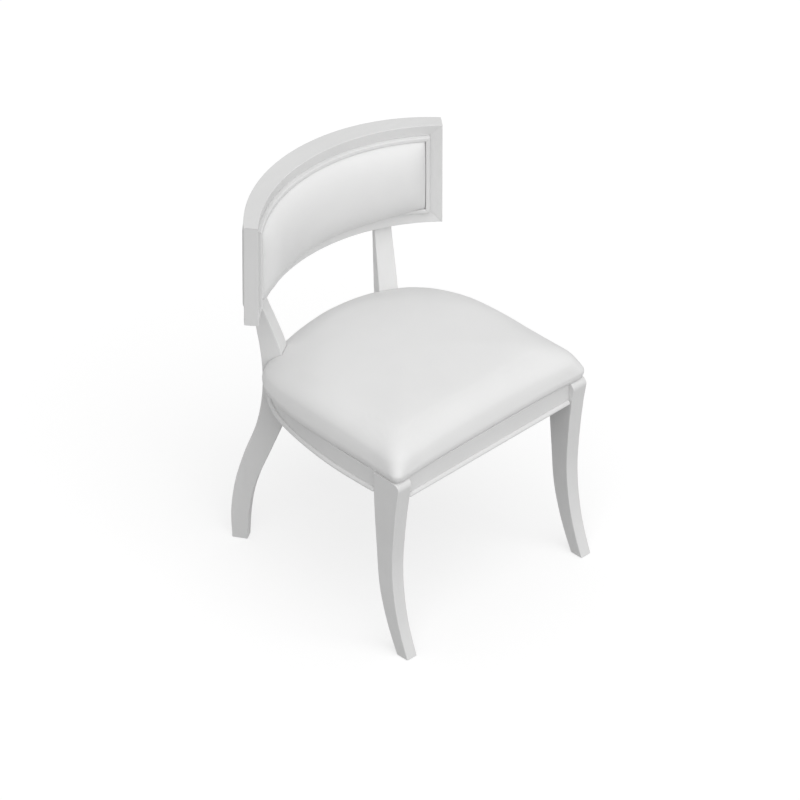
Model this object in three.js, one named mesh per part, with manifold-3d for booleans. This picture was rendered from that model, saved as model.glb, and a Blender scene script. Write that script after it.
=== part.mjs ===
// Klismos dining chair: sabre legs, bowed seat rails, curved upholstered back, padded seat.
// Millimetres, +Z up, the sitter faces -Y. Left and right are as seen from the front, so left is -X.
// The origin is on the floor, under the middle of the chair's box.
import * as THREE from 'three';
import { mergeVertices } from 'three/addons/utils/BufferGeometryUtils.js';
import Module from 'manifold-3d';

const wasm = await Module();
wasm.setup();

// Overall size: over the ends of the back, from the front toes to the outside back, floor to top rail
const overall_width = 523.9;
const overall_depth = 546.1;
const overall_height = 796.9;
const half_width = overall_width / 2;
const half_depth = overall_depth / 2;

// Clearances shared by all joints
const fit_gap = 0.3;
const cut_overrun = 5;

// Front legs
const front_leg_inset = 27.75;
const front_leg_centre = half_width - front_leg_inset;
const front_leg_foot_width = 24.6;
const front_leg_top_width = 36;
const front_leg_foot_depth = 29;
const front_leg_waist_setback = 38.35;
const front_leg_waist_reach = half_depth - front_leg_waist_setback;
const front_leg_top_depth = 47.7;
const front_leg_back_reach = front_leg_waist_reach - front_leg_top_depth;
const front_leg_edge_radius = 2;
const knee_radius = 15;

// Rear legs, each in an upright plane that is turned outwards and misses the middle by the offset
const rear_leg_turn = THREE.MathUtils.degToRad(30);
const rear_leg_way = new THREE.Vector2(Math.sin(rear_leg_turn), Math.cos(rear_leg_turn));
const rear_leg_waist_inset = 103.241;
const rear_leg_waist_setback = 74.158;
const rear_leg_waist = new THREE.Vector2(half_width, half_depth)
  .sub(new THREE.Vector2(rear_leg_waist_inset, rear_leg_waist_setback));
const rear_leg_offset = rear_leg_waist.cross(rear_leg_way);
const rear_leg_waist_reach = rear_leg_waist.dot(rear_leg_way);
const rear_leg_toe_splay = 63.4;
const rear_leg_toe_reach = rear_leg_waist_reach + rear_leg_toe_splay;
const rear_leg_foot_depth = 30.5;
const rear_leg_seat_depth = 53.6;
const rear_leg_foot_width = 21.5;
const rear_leg_seat_width = 37.5;
const rear_leg_top_width = 33.5;
const rear_leg_edge_radius = 2;

// Seat rails
const rail_top = 397;
const rail_height = 46;
const rail_thickness = 22;
const front_rail_setback = 31.55;
const front_rail_reach = half_depth - front_rail_setback;
const side_rail_inset = 16.35;
const side_rail_half_width = half_width - side_rail_inset;
const side_rail_end_inset = 8.156;
const side_rail_bow = side_rail_half_width - rear_leg_waist.x + side_rail_end_inset;
const side_rail_end_lead = 13.892;
const side_rail_run = front_leg_back_reach + rear_leg_waist.y - side_rail_end_lead;
const rear_rail_lag = 7.108;
const rear_rail_reach = rear_leg_waist.y + rear_rail_lag;
const rear_rail_bow = 18.727;
const rear_rail_end_inset = 23.709;
const rear_rail_half_length = rear_leg_waist.x - rear_rail_end_inset;
const rear_rail_radius = (rear_rail_half_length ** 2 + rear_rail_bow ** 2) / (2 * rear_rail_bow);
const rail_edge_radius = 1.5;

// Tenons on the rail ends
const tenon_thickness = 9;
const tenon_shoulder = 6;
const tenon_root = 8;
const front_tenon_length = 20;
const rear_tenon_length = 15;
const side_tenon_depth = 24.6;
const side_tenon_reach = rear_leg_waist_reach - side_tenon_depth;
const rear_tenon_depth = 32.6;
const rear_tenon_reach = rear_leg_waist_reach - rear_tenon_depth;

// Bead moulding along the rails
const bead_height = 8.5;
const bead_proud = 3.2;
const bead_end_run = 4;
const bead_end_gap = 0.9;

// Corner blocks and their screws
const block_height = 30;
const block_drop = 7;
const front_block_length = 95;
const rear_block_length = 125;
const screw_diameter = 4;
const screw_head_diameter = 8.4;
const screw_head_height = 2.8;
const block_screw_length = 22;
const block_screw_bearing = 10;
const seat_screw_length = 46;
const counterbore_diameter = 10.4;
const counterbore_depth = 11;
const front_block_screw_run = 71.2;
const front_block_screw_reach = front_leg_centre - front_block_screw_run;
const side_block_screw_run = 29;
const side_block_screw_reach = front_leg_back_reach - side_block_screw_run;
const bowed_block_screw_run = 106.549;
const rear_block_screw_run = 49;
const rear_block_screw_reach = rear_rail_half_length - rear_block_screw_run;
const front_seat_screw_inset = 37.2;
const front_seat_screw_x = front_leg_centre - front_seat_screw_inset;
const front_seat_screw_setback = 50.5;
const front_seat_screw_y = front_seat_screw_setback - front_rail_reach;
const rear_seat_screw_flare = 1.291;
const rear_seat_screw_x = rear_leg_waist.x + rear_seat_screw_flare;
const rear_seat_screw_lead = 67.892;
const rear_seat_screw_y = rear_leg_waist.y - rear_seat_screw_lead;

// Seat cushion
const seat_side_inset = 11.95;
const seat_half_width = half_width - seat_side_inset;
const seat_front_setback = 23.05;
const seat_front_reach = half_depth - seat_front_setback;
const seat_rear_overhang = 10;
const seat_rear_reach = rear_rail_reach + seat_rear_overhang;
const seat_corner_radius = 16;
const seat_corner_flare = 5;
const seat_edge_height = 76;
const seat_crown = 8;
const seat_rear_drop = 7;
const seat_rear_corner_drop = 62;
const seat_front_corner_drop = 10;
const seat_centre_y = -20;
const seat_cover_thickness = 1.5;
const seat_cover_return = 26;
const seat_board_thickness = 12;
const seat_board_inset = 9;
const seat_post_clearance = 0.8;

// Dust cover under the seat
const dust_cover_thickness = 0.8;
const dust_cover_inset = 7;

// Curved back: front and rear faces are arcs, given by their half chord, middle and rise
const back_height = 222.7;
const back_end_splay = 16.95;
const back_front_half_chord = half_width - back_end_splay;
const back_front_rise = 98.1;
const back_rear_rise = 118.7;
const back_middle_thickness = 42.5;
const back_frame_width = 24;
const back_frame_bevel = 3;
const back_edge_radius = 1.5;
const back_bead_width = 8.5;
const back_bead_depth = 12;
const back_bead_recess = 0.6;
const back_board_thickness = 9;
const outside_back_thickness = 4;
const outside_back_proud = 2.5;
const outside_back_crown = 3.95;
const back_rear_middle = half_depth - outside_back_proud - outside_back_crown;
const back_front_middle = back_rear_middle - back_middle_thickness;
const back_pad_crown = 36;
const back_cover_thickness = 1.2;
const back_pad_roll = 24;
const back_pad_end_roll = 62;

// Mitre splines, post dowels and floor glides
const spline_size = 14;
const spline_thickness = 3;
const dowel_diameter = 8;
const dowel_length = 38;
const dowel_spacing = 17;
const dowel_lag = 11.4;
const dowel_reach = rear_leg_waist_reach + dowel_lag;
const dowel_in_rail = 15;
const glide_diameter = 17;
const glide_height = 1;
const glide_stem_diameter = 4;
const glide_stem_length = 12;

// Outlines as shares of the sizes above, each row [along, value]
// Rear corner block about the rear leg's waist, as shares of its length
const rear_block_shares = [[0.42, -0.998], [0.0075, -0.306], [-0.287, -0.108], [-0.7195, -0.116]];
const front_leg_front_shares = [[0, 1], [0.09, 0.66], [0.181, 0.378], [0.33, 0.099], [0.479, 0],
  [0.594, 0.042], [0.856, 0.313], [1, 0.56]];
const front_leg_back_shares = [[0, 1], [0.1, 0.7], [0.219, 0.421], [0.355, 0.21], [0.559, 0.105],
  [0.877, 0], [1, 0]];
const rear_leg_back_shares = [[0, 1], [0.108, 1.024], [0.233, 0.888], [0.354, 0.601], [0.486, 0.199],
  [0.603, 0.022], [0.716, 0], [0.814, 0.093], [0.866, 0.172], [0.967, 0.29], [1, 0.33]];
const rear_leg_front_shares = [[0, 1], [0.106, 0.96], [0.193, 0.874], [0.267, 0.732], [0.378, 0.451],
  [0.469, 0.227], [0.54, 0.065], [0.611, 0], [0.692, 0.012], [0.793, 0.188], [0.876, 0.384],
  [0.948, 0.578], [1, 0.694]];
// Side rail's outer face in plan, [share of its bow, share of its run]
const side_rail_shares = [[0, 0], [0, 0.18], [0.031, 0.336], [0.1163, 0.503], [0.2403, 0.664],
  [0.3798, 0.785], [0.5685, 0.887], [0.7674, 0.96], [1, 1.019]];
// Seat outline behind the straight sides, [share of half width, share of rear reach]
const seat_outline_shares = [[1, -0.31], [0.974, 0.115], [0.933, 0.375], [0.878, 0.59], [0.843, 0.675],
  [0.775, 0.79], [0.688, 0.865], [0.54, 0.93], [0.3, 0.98], [0, 1]];
// Seat edge profile, [height, inset], both as shares of the edge height
const seat_profile_shares = [[0, 0.1], [0.13, 0.03], [0.28, 0], [0.5, 0.03], [0.68, 0.1], [0.84, 0.26],
  [0.94, 0.47], [1, 0.76]];
const seat_crown_shares = [0.75, 0.45, 0];
const least_facing_share = 0.6;
const seat_tangent_share = 0.6;
const rear_leg_widest_share = 0.76;
const bead_end_share = 0.25;
const bead_ring_shares = [0, 0.3, 1];
const screw_head_flat_share = 0.6;

const white_paint = { color: 0xe9e8e4, roughness: 0.42, metalness: 0 };
const bare_wood = { color: 0xcdb48c, roughness: 0.75, metalness: 0 };
const plywood = { color: 0xc9a878, roughness: 0.8, metalness: 0 };
const white_leather = { color: 0xeceae6, roughness: 0.5, metalness: 0 };
const foam = { color: 0xe7dcae, roughness: 0.95, metalness: 0 };
const black_cloth = { color: 0x1c1c1d, roughness: 0.95, metalness: 0 };
const zinc_steel = { color: 0xb9bcc0, roughness: 0.35, metalness: 1 };
const grey_nylon = { color: 0x8d8d8b, roughness: 0.6, metalness: 0 };

const chair = new THREE.Group();
const sides = [['left', -1], ['right', 1]];

// Solids

function orientedIndex(positions, index) {
  const [a, b, c] = [new THREE.Vector3(), new THREE.Vector3(), new THREE.Vector3()];
  let volume = 0;
  for (let i = 0; i < index.length; i += 3) {
    a.fromArray(positions, index[i] * 3);
    b.fromArray(positions, index[i + 1] * 3);
    c.fromArray(positions, index[i + 2] * 3);
    volume += a.dot(b.cross(c));
  }
  if (volume > 0) return Uint32Array.from(index);
  return Uint32Array.from(index).reverse();
}

function solidOf(geometry) {
  const bare = geometry.clone();
  bare.deleteAttribute('normal');
  bare.deleteAttribute('uv');
  const merged = mergeVertices(bare);
  const positions = merged.attributes.position.array;
  const triVerts = orientedIndex(positions, merged.index.array);
  const vertProperties = Float32Array.from(positions);
  return new wasm.Manifold(new wasm.Mesh({ numProp: 3, vertProperties, triVerts }));
}

function geometryOf(solid) {
  const mesh = solid.getMesh();
  const geometry = new THREE.BufferGeometry();
  geometry.setAttribute('position', new THREE.BufferAttribute(Float32Array.from(mesh.vertProperties), 3));
  geometry.setIndex(new THREE.BufferAttribute(Uint32Array.from(mesh.triVerts), 1));
  geometry.computeVertexNormals();
  return geometry;
}

function addPiece(name, solid, look, parent = chair) {
  const mesh = new THREE.Mesh(geometryOf(solid), new THREE.MeshStandardMaterial(look));
  mesh.name = name;
  parent.add(mesh);
  return mesh;
}

// A section extruded in steps, with each ring of points then put in place
function sweep(section, steps, place, curveSegments = 2) {
  const options = { depth: 1, steps, bevelEnabled: false, curveSegments };
  const geometry = new THREE.ExtrudeGeometry(section, options);
  const position = geometry.attributes.position;
  for (let i = 0; i < position.count; i += 1) {
    const point = place(position.getX(i), position.getY(i), Math.round(position.getZ(i) * steps));
    position.setXYZ(i, point.x, point.y, point.z);
  }
  return solidOf(geometry);
}

// A flat outline given thickness from one height to another
function plate(points, bottom, top) {
  const options = { depth: top - bottom, bevelEnabled: false };
  const geometry = new THREE.ExtrudeGeometry(new THREE.Shape(points), options);
  geometry.translate(0, 0, bottom);
  return solidOf(geometry);
}

function box(x0, x1, y0, y1, z0, z1) {
  const geometry = new THREE.BoxGeometry(x1 - x0, y1 - y0, z1 - z0);
  geometry.translate((x0 + x1) / 2, (y0 + y1) / 2, (z0 + z1) / 2);
  return geometry;
}

// A round bar from one point to another
function rod(from, to, diameter, facets = 12) {
  const axis = new THREE.Vector3().subVectors(to, from);
  const geometry = new THREE.CylinderGeometry(diameter / 2, diameter / 2, axis.length(), facets);
  const upright = new THREE.Vector3(0, 1, 0);
  geometry.applyQuaternion(new THREE.Quaternion().setFromUnitVectors(upright, axis.normalize()));
  geometry.translate((from.x + to.x) / 2, (from.y + to.y) / 2, (from.z + to.z) / 2);
  return solidOf(geometry);
}

// A polygon with rounded corners; a corner with radius zero stays sharp
function filletedShape(points, radii) {
  const shape = new THREE.Shape();
  points.forEach((corner, i) => {
    const before = points[(i + points.length - 1) % points.length];
    const after = points[(i + 1) % points.length];
    const start = corner.clone().add(before.clone().sub(corner).setLength(radii[i]));
    const end = corner.clone().add(after.clone().sub(corner).setLength(radii[i]));
    if (i === 0) shape.moveTo(start.x, start.y);
    else shape.lineTo(start.x, start.y);
    if (radii[i] > 0) shape.quadraticCurveTo(corner.x, corner.y, end.x, end.y);
  });
  shape.closePath();
  return shape;
}

function rectangle(x0, x1, y0, y1) {
  return [[x0, y0], [x1, y0], [x1, y1], [x0, y1]].map(([x, y]) => new THREE.Vector2(x, y));
}

function roundedRectangle(x0, x1, y0, y1, radius) {
  return filletedShape(rectangle(x0, x1, y0, y1), [radius, radius, radius, radius]);
}

function curveThrough(table) {
  const interpolant = new THREE.CubicInterpolant(table.map((row) => row[0]), table.map((row) => row[1]), 1);
  return (share) => interpolant.evaluate(share)[0];
}

// Legs

const front_toe_reach = half_depth;
const front_heel_reach = front_toe_reach - front_leg_foot_depth;
const back_bottom = overall_height - back_height;
const rear_leg_height = back_bottom - fit_gap;
const rear_leg_front_toe = rear_leg_toe_reach - rear_leg_foot_depth;
const rear_leg_front_seat = rear_leg_waist_reach - rear_leg_seat_depth;
const front_leg_front_curve = curveThrough(front_leg_front_shares);
const front_leg_back_curve = curveThrough(front_leg_back_shares);
const rear_leg_back_curve = curveThrough(rear_leg_back_shares);
const rear_leg_front_curve = curveThrough(rear_leg_front_shares);

function frontLegEdges(height) {
  const share = (height - glide_height) / (rail_top - glide_height);
  const toe = front_toe_reach - front_leg_waist_reach;
  const heel = front_heel_reach - front_leg_back_reach;
  const above = Math.max(0, height - (rail_top - knee_radius));
  const rounding = knee_radius - Math.sqrt(Math.max(0, knee_radius ** 2 - above ** 2));
  const width = THREE.MathUtils.lerp(front_leg_foot_width, front_leg_top_width, share);
  return {
    front: front_leg_waist_reach + toe * front_leg_front_curve(share) - rounding,
    back: front_leg_back_reach + heel * front_leg_back_curve(share),
    width,
  };
}

function rearLegEdges(height) {
  const share = (height - glide_height) / (rear_leg_height - glide_height);
  const toe = rear_leg_toe_reach - rear_leg_waist_reach;
  const front_toe = rear_leg_front_toe - rear_leg_front_seat;
  const width = share < rear_leg_widest_share
    ? THREE.MathUtils.lerp(rear_leg_foot_width, rear_leg_seat_width, share / rear_leg_widest_share)
    : THREE.MathUtils.mapLinear(share, rear_leg_widest_share, 1, rear_leg_seat_width, rear_leg_top_width);
  return {
    front: rear_leg_front_seat + front_toe * rear_leg_front_curve(share),
    back: rear_leg_waist_reach + toe * rear_leg_back_curve(share),
    width,
  };
}

// Heights of the rings along a leg, closer together where the knee rounds over
function frontLegHeights() {
  const heights = [];
  const shaft_steps = 14;
  const knee_steps = 5;
  for (let i = 0; i <= shaft_steps; i += 1) {
    heights.push(THREE.MathUtils.lerp(glide_height, rail_top - knee_radius, i / shaft_steps));
  }
  for (let i = 1; i <= knee_steps; i += 1) {
    heights.push(rail_top - knee_radius * (1 - Math.sin((Math.PI / 2) * (i / knee_steps))));
  }
  return heights;
}

function frontLeg(side, grow = 0) {
  const heights = frontLegHeights();
  const half = front_leg_foot_width / 2;
  const section = roundedRectangle(-half, half, -half, half, front_leg_edge_radius);
  return sweep(section, heights.length - 1, (x, y, ring) => {
    const { front, back, width } = frontLegEdges(heights[ring]);
    const across = x + Math.sign(x) * (width / 2 - half + grow);
    const along = y + Math.sign(y) * ((front - back) / 2 - half + grow);
    return new THREE.Vector3(side * (front_leg_centre + across), along - (front + back) / 2, heights[ring]);
  });
}

// A point by its reach from the chair's middle, its offset outwards from the leg's plane, and its height
function rearLegPoint(side, reach, out, height) {
  const across = rear_leg_offset + out;
  const x = reach * Math.sin(rear_leg_turn) + across * Math.cos(rear_leg_turn);
  const y = reach * Math.cos(rear_leg_turn) - across * Math.sin(rear_leg_turn);
  return new THREE.Vector3(side * x, y, height);
}

function rearLeg(side, grow = 0) {
  const steps = 24;
  const half = rear_leg_foot_width / 2;
  const section = roundedRectangle(-half, half, -half, half, rear_leg_edge_radius);
  return sweep(section, steps, (x, y, ring) => {
    const height = THREE.MathUtils.lerp(glide_height, rear_leg_height, ring / steps);
    const { front, back, width } = rearLegEdges(height);
    const out = x + Math.sign(x) * (width / 2 - half + grow);
    const along = y + Math.sign(y) * ((back - front) / 2 - half + grow);
    return rearLegPoint(side, (front + back) / 2 + along, out, height);
  });
}

// A box in the rear leg's own directions
function rearLegBox(side, reach0, reach1, out0, out1, z0, z1) {
  const geometry = box(reach0, reach1, out0, out1, z0, z1);
  const position = geometry.attributes.position;
  for (let i = 0; i < position.count; i += 1) {
    const point = rearLegPoint(side, position.getX(i), position.getY(i), position.getZ(i));
    position.setXYZ(i, point.x, point.y, point.z);
  }
  return solidOf(geometry);
}

// Seat rails

const rail_bottom = rail_top - rail_height;
const side_rail_curve = new THREE.SplineCurve(side_rail_shares.map(([x, y]) => (
  new THREE.Vector2(side_rail_half_width - x * side_rail_bow, y * side_rail_run - front_leg_back_reach))));

// Point and outward direction on the side rail's outer face
function sideRailFrame(share) {
  const tangent = side_rail_curve.getTangentAt(share);
  return { point: side_rail_curve.getPointAt(share), out: new THREE.Vector2(tangent.y, -tangent.x) };
}

function rearRailFrame(share) {
  const x = THREE.MathUtils.lerp(rear_rail_half_length, -rear_rail_half_length, share);
  const angle = Math.asin(x / rear_rail_radius);
  const out = new THREE.Vector2(Math.sin(angle), Math.cos(angle));
  const centre = rear_rail_reach - rear_rail_radius;
  return { point: new THREE.Vector2(x, centre + out.y * rear_rail_radius), out };
}

function frontRailFrame(share) {
  const x = THREE.MathUtils.lerp(-front_leg_centre, front_leg_centre, share);
  return { point: new THREE.Vector2(x, -front_rail_reach), out: new THREE.Vector2(0, -1) };
}

// A rail of one section along its plan curve, grown on request to cut its neighbours
function railBand(frame, steps, side, grow = 0) {
  const section = roundedRectangle(-rail_thickness - grow, grow, rail_bottom - grow, rail_top + grow,
    rail_edge_radius);
  return sweep(section, steps, (x, y, ring) => {
    const { point, out } = frame(ring / steps);
    return new THREE.Vector3(side * (point.x + out.x * x), point.y + out.y * x, y);
  });
}

const side_rail_steps = 18;
const rear_rail_steps = 10;
const tenon_bottom = rail_bottom + tenon_shoulder;
const tenon_top = rail_top - tenon_shoulder;

function frontRailTenon(side, grow) {
  const inner = front_leg_centre - frontLegEdges(rail_top).width / 2;
  const y = -(front_rail_reach - rail_thickness / 2);
  const half = tenon_thickness / 2 + grow;
  const ends = [inner - tenon_root, inner + front_tenon_length + grow].map((x) => side * x);
  const [x0, x1] = [Math.min(...ends), Math.max(...ends)];
  return solidOf(box(x0, x1, y - half, y + half, tenon_bottom - grow, tenon_top + grow));
}

function sideRailFrontTenon(side, grow) {
  const x = side * (side_rail_half_width - rail_thickness / 2);
  const half = tenon_thickness / 2 + grow;
  const y0 = -front_leg_back_reach - front_tenon_length - grow;
  const y1 = -front_leg_back_reach + tenon_root;
  return solidOf(box(x - half, x + half, y0, y1, tenon_bottom - grow, tenon_top + grow));
}

function sideRailRearTenon(side, grow) {
  const half = tenon_thickness / 2 + grow;
  const face = rear_leg_seat_width / 2;
  return rearLegBox(side, side_tenon_reach - half, side_tenon_reach + half, face - rear_tenon_length - grow,
    face + tenon_root, tenon_bottom - grow, tenon_top + grow);
}

function rearRailTenon(side, grow) {
  const half = tenon_thickness / 2 + grow;
  const face = -rear_leg_seat_width / 2;
  return rearLegBox(side, rear_tenon_reach - half, rear_tenon_reach + half, face - tenon_root,
    face + rear_tenon_length + grow, tenon_bottom - grow, tenon_top + grow);
}

function frontRail() {
  let rail = railBand(frontRailFrame, 1, 1);
  for (const [, side] of sides) {
    rail = rail.subtract(frontLeg(side, fit_gap)).add(frontRailTenon(side, 0));
  }
  return largestOf(rail);
}

function sideRail(side) {
  const band = railBand(sideRailFrame, side_rail_steps, side);
  const cut = band.subtract(frontLeg(side, fit_gap)).subtract(rearLeg(side, fit_gap));
  return largestOf(cut).add(sideRailFrontTenon(side, 0)).add(sideRailRearTenon(side, 0));
}

function rearRail() {
  let rail = railBand(rearRailFrame, rear_rail_steps, 1);
  for (const [, side] of sides) rail = rail.subtract(rearLeg(side, fit_gap));
  rail = largestOf(rail);
  for (const [, side] of sides) rail = rail.add(rearRailTenon(side, 0));
  return rail;
}

// The one body that matters where a cut leaves a sliver beyond the joint
function largestOf(solid) {
  return solid.decompose().sort((a, b) => b.volume() - a.volume())[0];
}

function mortisedFrontLeg(side) {
  return frontLeg(side)
    .subtract(frontRailTenon(side, fit_gap))
    .subtract(sideRailFrontTenon(side, fit_gap))
    .subtract(glideStemHole(frontFoot(side)));
}

function mortisedRearLeg(side) {
  let leg = rearLeg(side)
    .subtract(sideRailRearTenon(side, fit_gap))
    .subtract(rearRailTenon(side, fit_gap))
    .subtract(glideStemHole(rearFoot(side)));
  for (const end of [-1, 1]) leg = leg.subtract(postDowelHole(side, end));
  return leg;
}

// Feet and floor glides

function frontFoot(side) {
  const { front, back } = frontLegEdges(glide_height);
  return new THREE.Vector3(side * front_leg_centre, -(front + back) / 2, glide_height);
}

function rearFoot(side) {
  const { front, back } = rearLegEdges(glide_height);
  return rearLegPoint(side, (front + back) / 2, 0, glide_height);
}

function glideStemHole(foot) {
  const top = foot.clone().setZ(foot.z + glide_stem_length + fit_gap);
  const bottom = foot.clone().setZ(foot.z - cut_overrun);
  return rod(bottom, top, glide_stem_diameter + 2 * fit_gap);
}

function glideGeometry() {
  const glide_facets = 16;
  const radius = glide_diameter / 2;
  const stem = glide_stem_diameter / 2;
  const seat = glide_height - fit_gap;
  const tip = glide_height + glide_stem_length;
  const profile = [[0, 0], [radius - glide_height / 2, 0], [radius, glide_height / 2], [radius, seat],
    [stem, seat], [stem, tip], [0, tip]];
  const geometry = new THREE.LatheGeometry(profile.map(([r, h]) => new THREE.Vector2(r, h)), glide_facets);
  geometry.rotateX(Math.PI / 2);
  return geometry;
}

function addGlides() {
  const glide = solidOf(glideGeometry());
  for (const [name, side] of sides) {
    const feet = [['front', frontFoot(side)], ['rear', rearFoot(side)]];
    for (const [end, foot] of feet) {
      addPiece(`floor_glide_${end}_${name}`, glide, grey_nylon).position.set(foot.x, foot.y, 0);
    }
  }
}

// Bead moulding: a half round whose back lies on the rail's face and whose ends round off

function beadShape() {
  const shape = new THREE.Shape();
  const facets = 8;
  for (let i = 0; i <= facets; i += 1) {
    const angle = Math.PI * (i / facets) - Math.PI / 2;
    const x = Math.cos(angle);
    const y = (Math.sin(angle) + 1) / 2;
    if (i === 0) shape.moveTo(x, y);
    else shape.lineTo(x, y);
  }
  shape.closePath();
  return shape;
}

function bead(frame, shares, lengths, side) {
  return sweep(beadShape(), shares.length - 1, (x, y, ring) => {
    const { point, out } = frame(shares[ring]);
    const from_end = Math.min(lengths[ring], lengths.at(-1) - lengths[ring]);
    const short = Math.max(0, 1 - from_end / bead_end_run);
    const swell = Math.max(bead_end_share, Math.sqrt(1 - short ** 2));
    const off = fit_gap + bead_proud * x * swell;
    const height = rail_bottom + bead_height * (0.5 + (y - 0.5) * swell);
    return new THREE.Vector3(side * (point.x + out.x * off), point.y + out.y * off, height);
  });
}

// Shares of a rail's curve at the bead's rings: three close rings at each end, even ones between
function beadShares(first, last, steps, run) {
  const end_run = bead_end_run / run;
  const ends = bead_ring_shares.map((part) => part * end_run);
  const shares = ends.map((part) => first + part);
  for (let i = 1; i < steps; i += 1) {
    shares.push(THREE.MathUtils.lerp(first + end_run, last - end_run, i / steps));
  }
  for (const part of [...ends].reverse()) shares.push(last - part);
  return shares;
}

function frontBead() {
  const inner = front_leg_centre - frontLegEdges(rail_bottom + bead_height).width / 2 - bead_end_gap;
  const run = 2 * front_leg_centre;
  const first = (front_leg_centre - inner) / run;
  const shares = beadShares(first, 1 - first, 1, run);
  return bead(frontRailFrame, shares, shares.map((share) => share * run), 1);
}

const side_bead_steps = 16;

// How far outside the rear leg's outer face a point of the plan lies
function outsideRearLeg(point, height) {
  const across = point.x * Math.cos(rear_leg_turn) - point.y * Math.sin(rear_leg_turn);
  return across - rear_leg_offset - rearLegEdges(height).width / 2;
}

function sideBeadEnd() {
  const tries = 200;
  for (let i = tries; i > 0; i -= 1) {
    const { point, out } = sideRailFrame(i / tries);
    const crest = point.clone().addScaledVector(out, bead_proud);
    const clear = Math.min(outsideRearLeg(point, rail_bottom), outsideRearLeg(crest, rail_bottom));
    if (clear > fit_gap) return i / tries;
  }
  return 1;
}

function sideBead(side) {
  const run = side_rail_curve.getLength();
  const shares = beadShares(fit_gap / run, sideBeadEnd(), side_bead_steps, run);
  return bead(sideRailFrame, shares, shares.map((share) => share * run), side);
}

// Corner blocks, cut to fit the rails and legs round them

const block_top = rail_top - block_drop;
const block_bottom = block_top - block_height;
const front_block_corner = front_rail_reach - rail_thickness / 2;
const front_block_side = side_rail_half_width - rail_thickness / 2;

function railClearances(side) {
  return [
    railBand(sideRailFrame, side_rail_steps, side, fit_gap),
    railBand(frontRailFrame, 1, 1, fit_gap),
    railBand(rearRailFrame, rear_rail_steps, 1, fit_gap),
    frontLeg(side, fit_gap),
    rearLeg(side, fit_gap),
  ];
}

function frontBlockOutline(side) {
  const x = side * front_block_side;
  const y = -front_block_corner;
  return [new THREE.Vector2(x, y), new THREE.Vector2(x, y + front_block_length),
    new THREE.Vector2(x - side * front_block_length, y)];
}

function rearBlockOutline(side) {
  return rear_block_shares.map(([x, y]) => {
    const point = new THREE.Vector2(x, y).multiplyScalar(rear_block_length).add(rear_leg_waist);
    return point.setX(side * point.x);
  });
}

// Where a block's screws sit, and the way they point
function blockScrews(side) {
  const bearing = rail_thickness + block_screw_bearing;
  const height = (block_top + block_bottom) / 2;
  const bowed = sideRailFrame(1 - bowed_block_screw_run / side_rail_curve.getLength());
  const rear = rearRailFrame((1 - rear_block_screw_reach / rear_rail_half_length) / 2);
  const seatOn = ({ point, out }) => ({
    seat: new THREE.Vector3(side * (point.x - out.x * bearing), point.y - out.y * bearing, height),
    axis: new THREE.Vector3(side * out.x, out.y, 0),
  });
  const front = {
    point: new THREE.Vector2(front_block_screw_reach, -front_rail_reach),
    out: new THREE.Vector2(0, -1),
  };
  const straight = {
    point: new THREE.Vector2(side_rail_half_width, -side_block_screw_reach),
    out: new THREE.Vector2(1, 0),
  };
  return { front: [seatOn(front), seatOn(straight)], rear: [seatOn(bowed), seatOn(rear)] };
}

function seatScrew(side, end) {
  const x = end === 'front' ? front_seat_screw_x : rear_seat_screw_x;
  const y = end === 'front' ? front_seat_screw_y : rear_seat_screw_y;
  return { seat: new THREE.Vector3(side * x, y, block_bottom), axis: new THREE.Vector3(0, 0, 1) };
}

const hole_facets = 8;

// The clearance hole of a screw, from its head's seat forward
function screwHole({ seat, axis }, length) {
  const from = seat.clone().addScaledVector(axis, -fit_gap);
  const to = seat.clone().addScaledVector(axis, length + fit_gap);
  return rod(from, to, screw_diameter + 2 * fit_gap, hole_facets);
}

function counterbore({ seat, axis }) {
  return rod(seat, seat.clone().addScaledVector(axis, -counterbore_depth), counterbore_diameter);
}

function cornerBlock(side, end) {
  const outline = end === 'front' ? frontBlockOutline(side) : rearBlockOutline(side);
  let block = plate(outline, block_bottom, block_top);
  for (const neighbour of railClearances(side)) block = block.subtract(neighbour);
  block = largestOf(block);
  for (const screw of blockScrews(side)[end]) {
    block = block.subtract(counterbore(screw)).subtract(screwHole(screw, block_screw_length));
  }
  return block.subtract(screwHole(seatScrew(side, end), seat_screw_length));
}

function withScrewHoles(solid, screws, length) {
  return screws.reduce((cut, screw) => cut.subtract(screwHole(screw, length)), solid);
}

// Pan head screw along +Z, its head's underside a gap behind the origin
function screwSolid(length) {
  const screw_facets = 10;
  const radius = screw_head_diameter / 2;
  const shank = screw_diameter / 2;
  const under = -fit_gap;
  const top = under - screw_head_height;
  const profile = [[0, top], [radius * screw_head_flat_share, top], [radius, (under + top) / 2],
    [radius, under], [shank, under], [shank, length - screw_diameter], [0, length]];
  const geometry = new THREE.LatheGeometry(profile.map(([r, z]) => new THREE.Vector2(r, z)), screw_facets);
  geometry.rotateX(Math.PI / 2);
  return solidOf(geometry);
}

function addScrew(name, solid, { seat, axis }) {
  const screw = addPiece(name, solid, zinc_steel);
  screw.position.copy(seat);
  screw.quaternion.setFromUnitVectors(new THREE.Vector3(0, 0, 1), axis);
}

// Seat: cover, foam and board, notched round the posts

const seat_straight_end = seat_outline_shares[0][1] * seat_rear_reach;
const seat_centre = new THREE.Vector2(0, seat_centre_y);
const seat_bottom = rail_top + fit_gap;
const board_bottom = seat_bottom + seat_cover_thickness + fit_gap;
const board_top = board_bottom + seat_board_thickness;
const foam_bottom = board_top + fit_gap;
const foam_offset = seat_cover_thickness + fit_gap;

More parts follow.
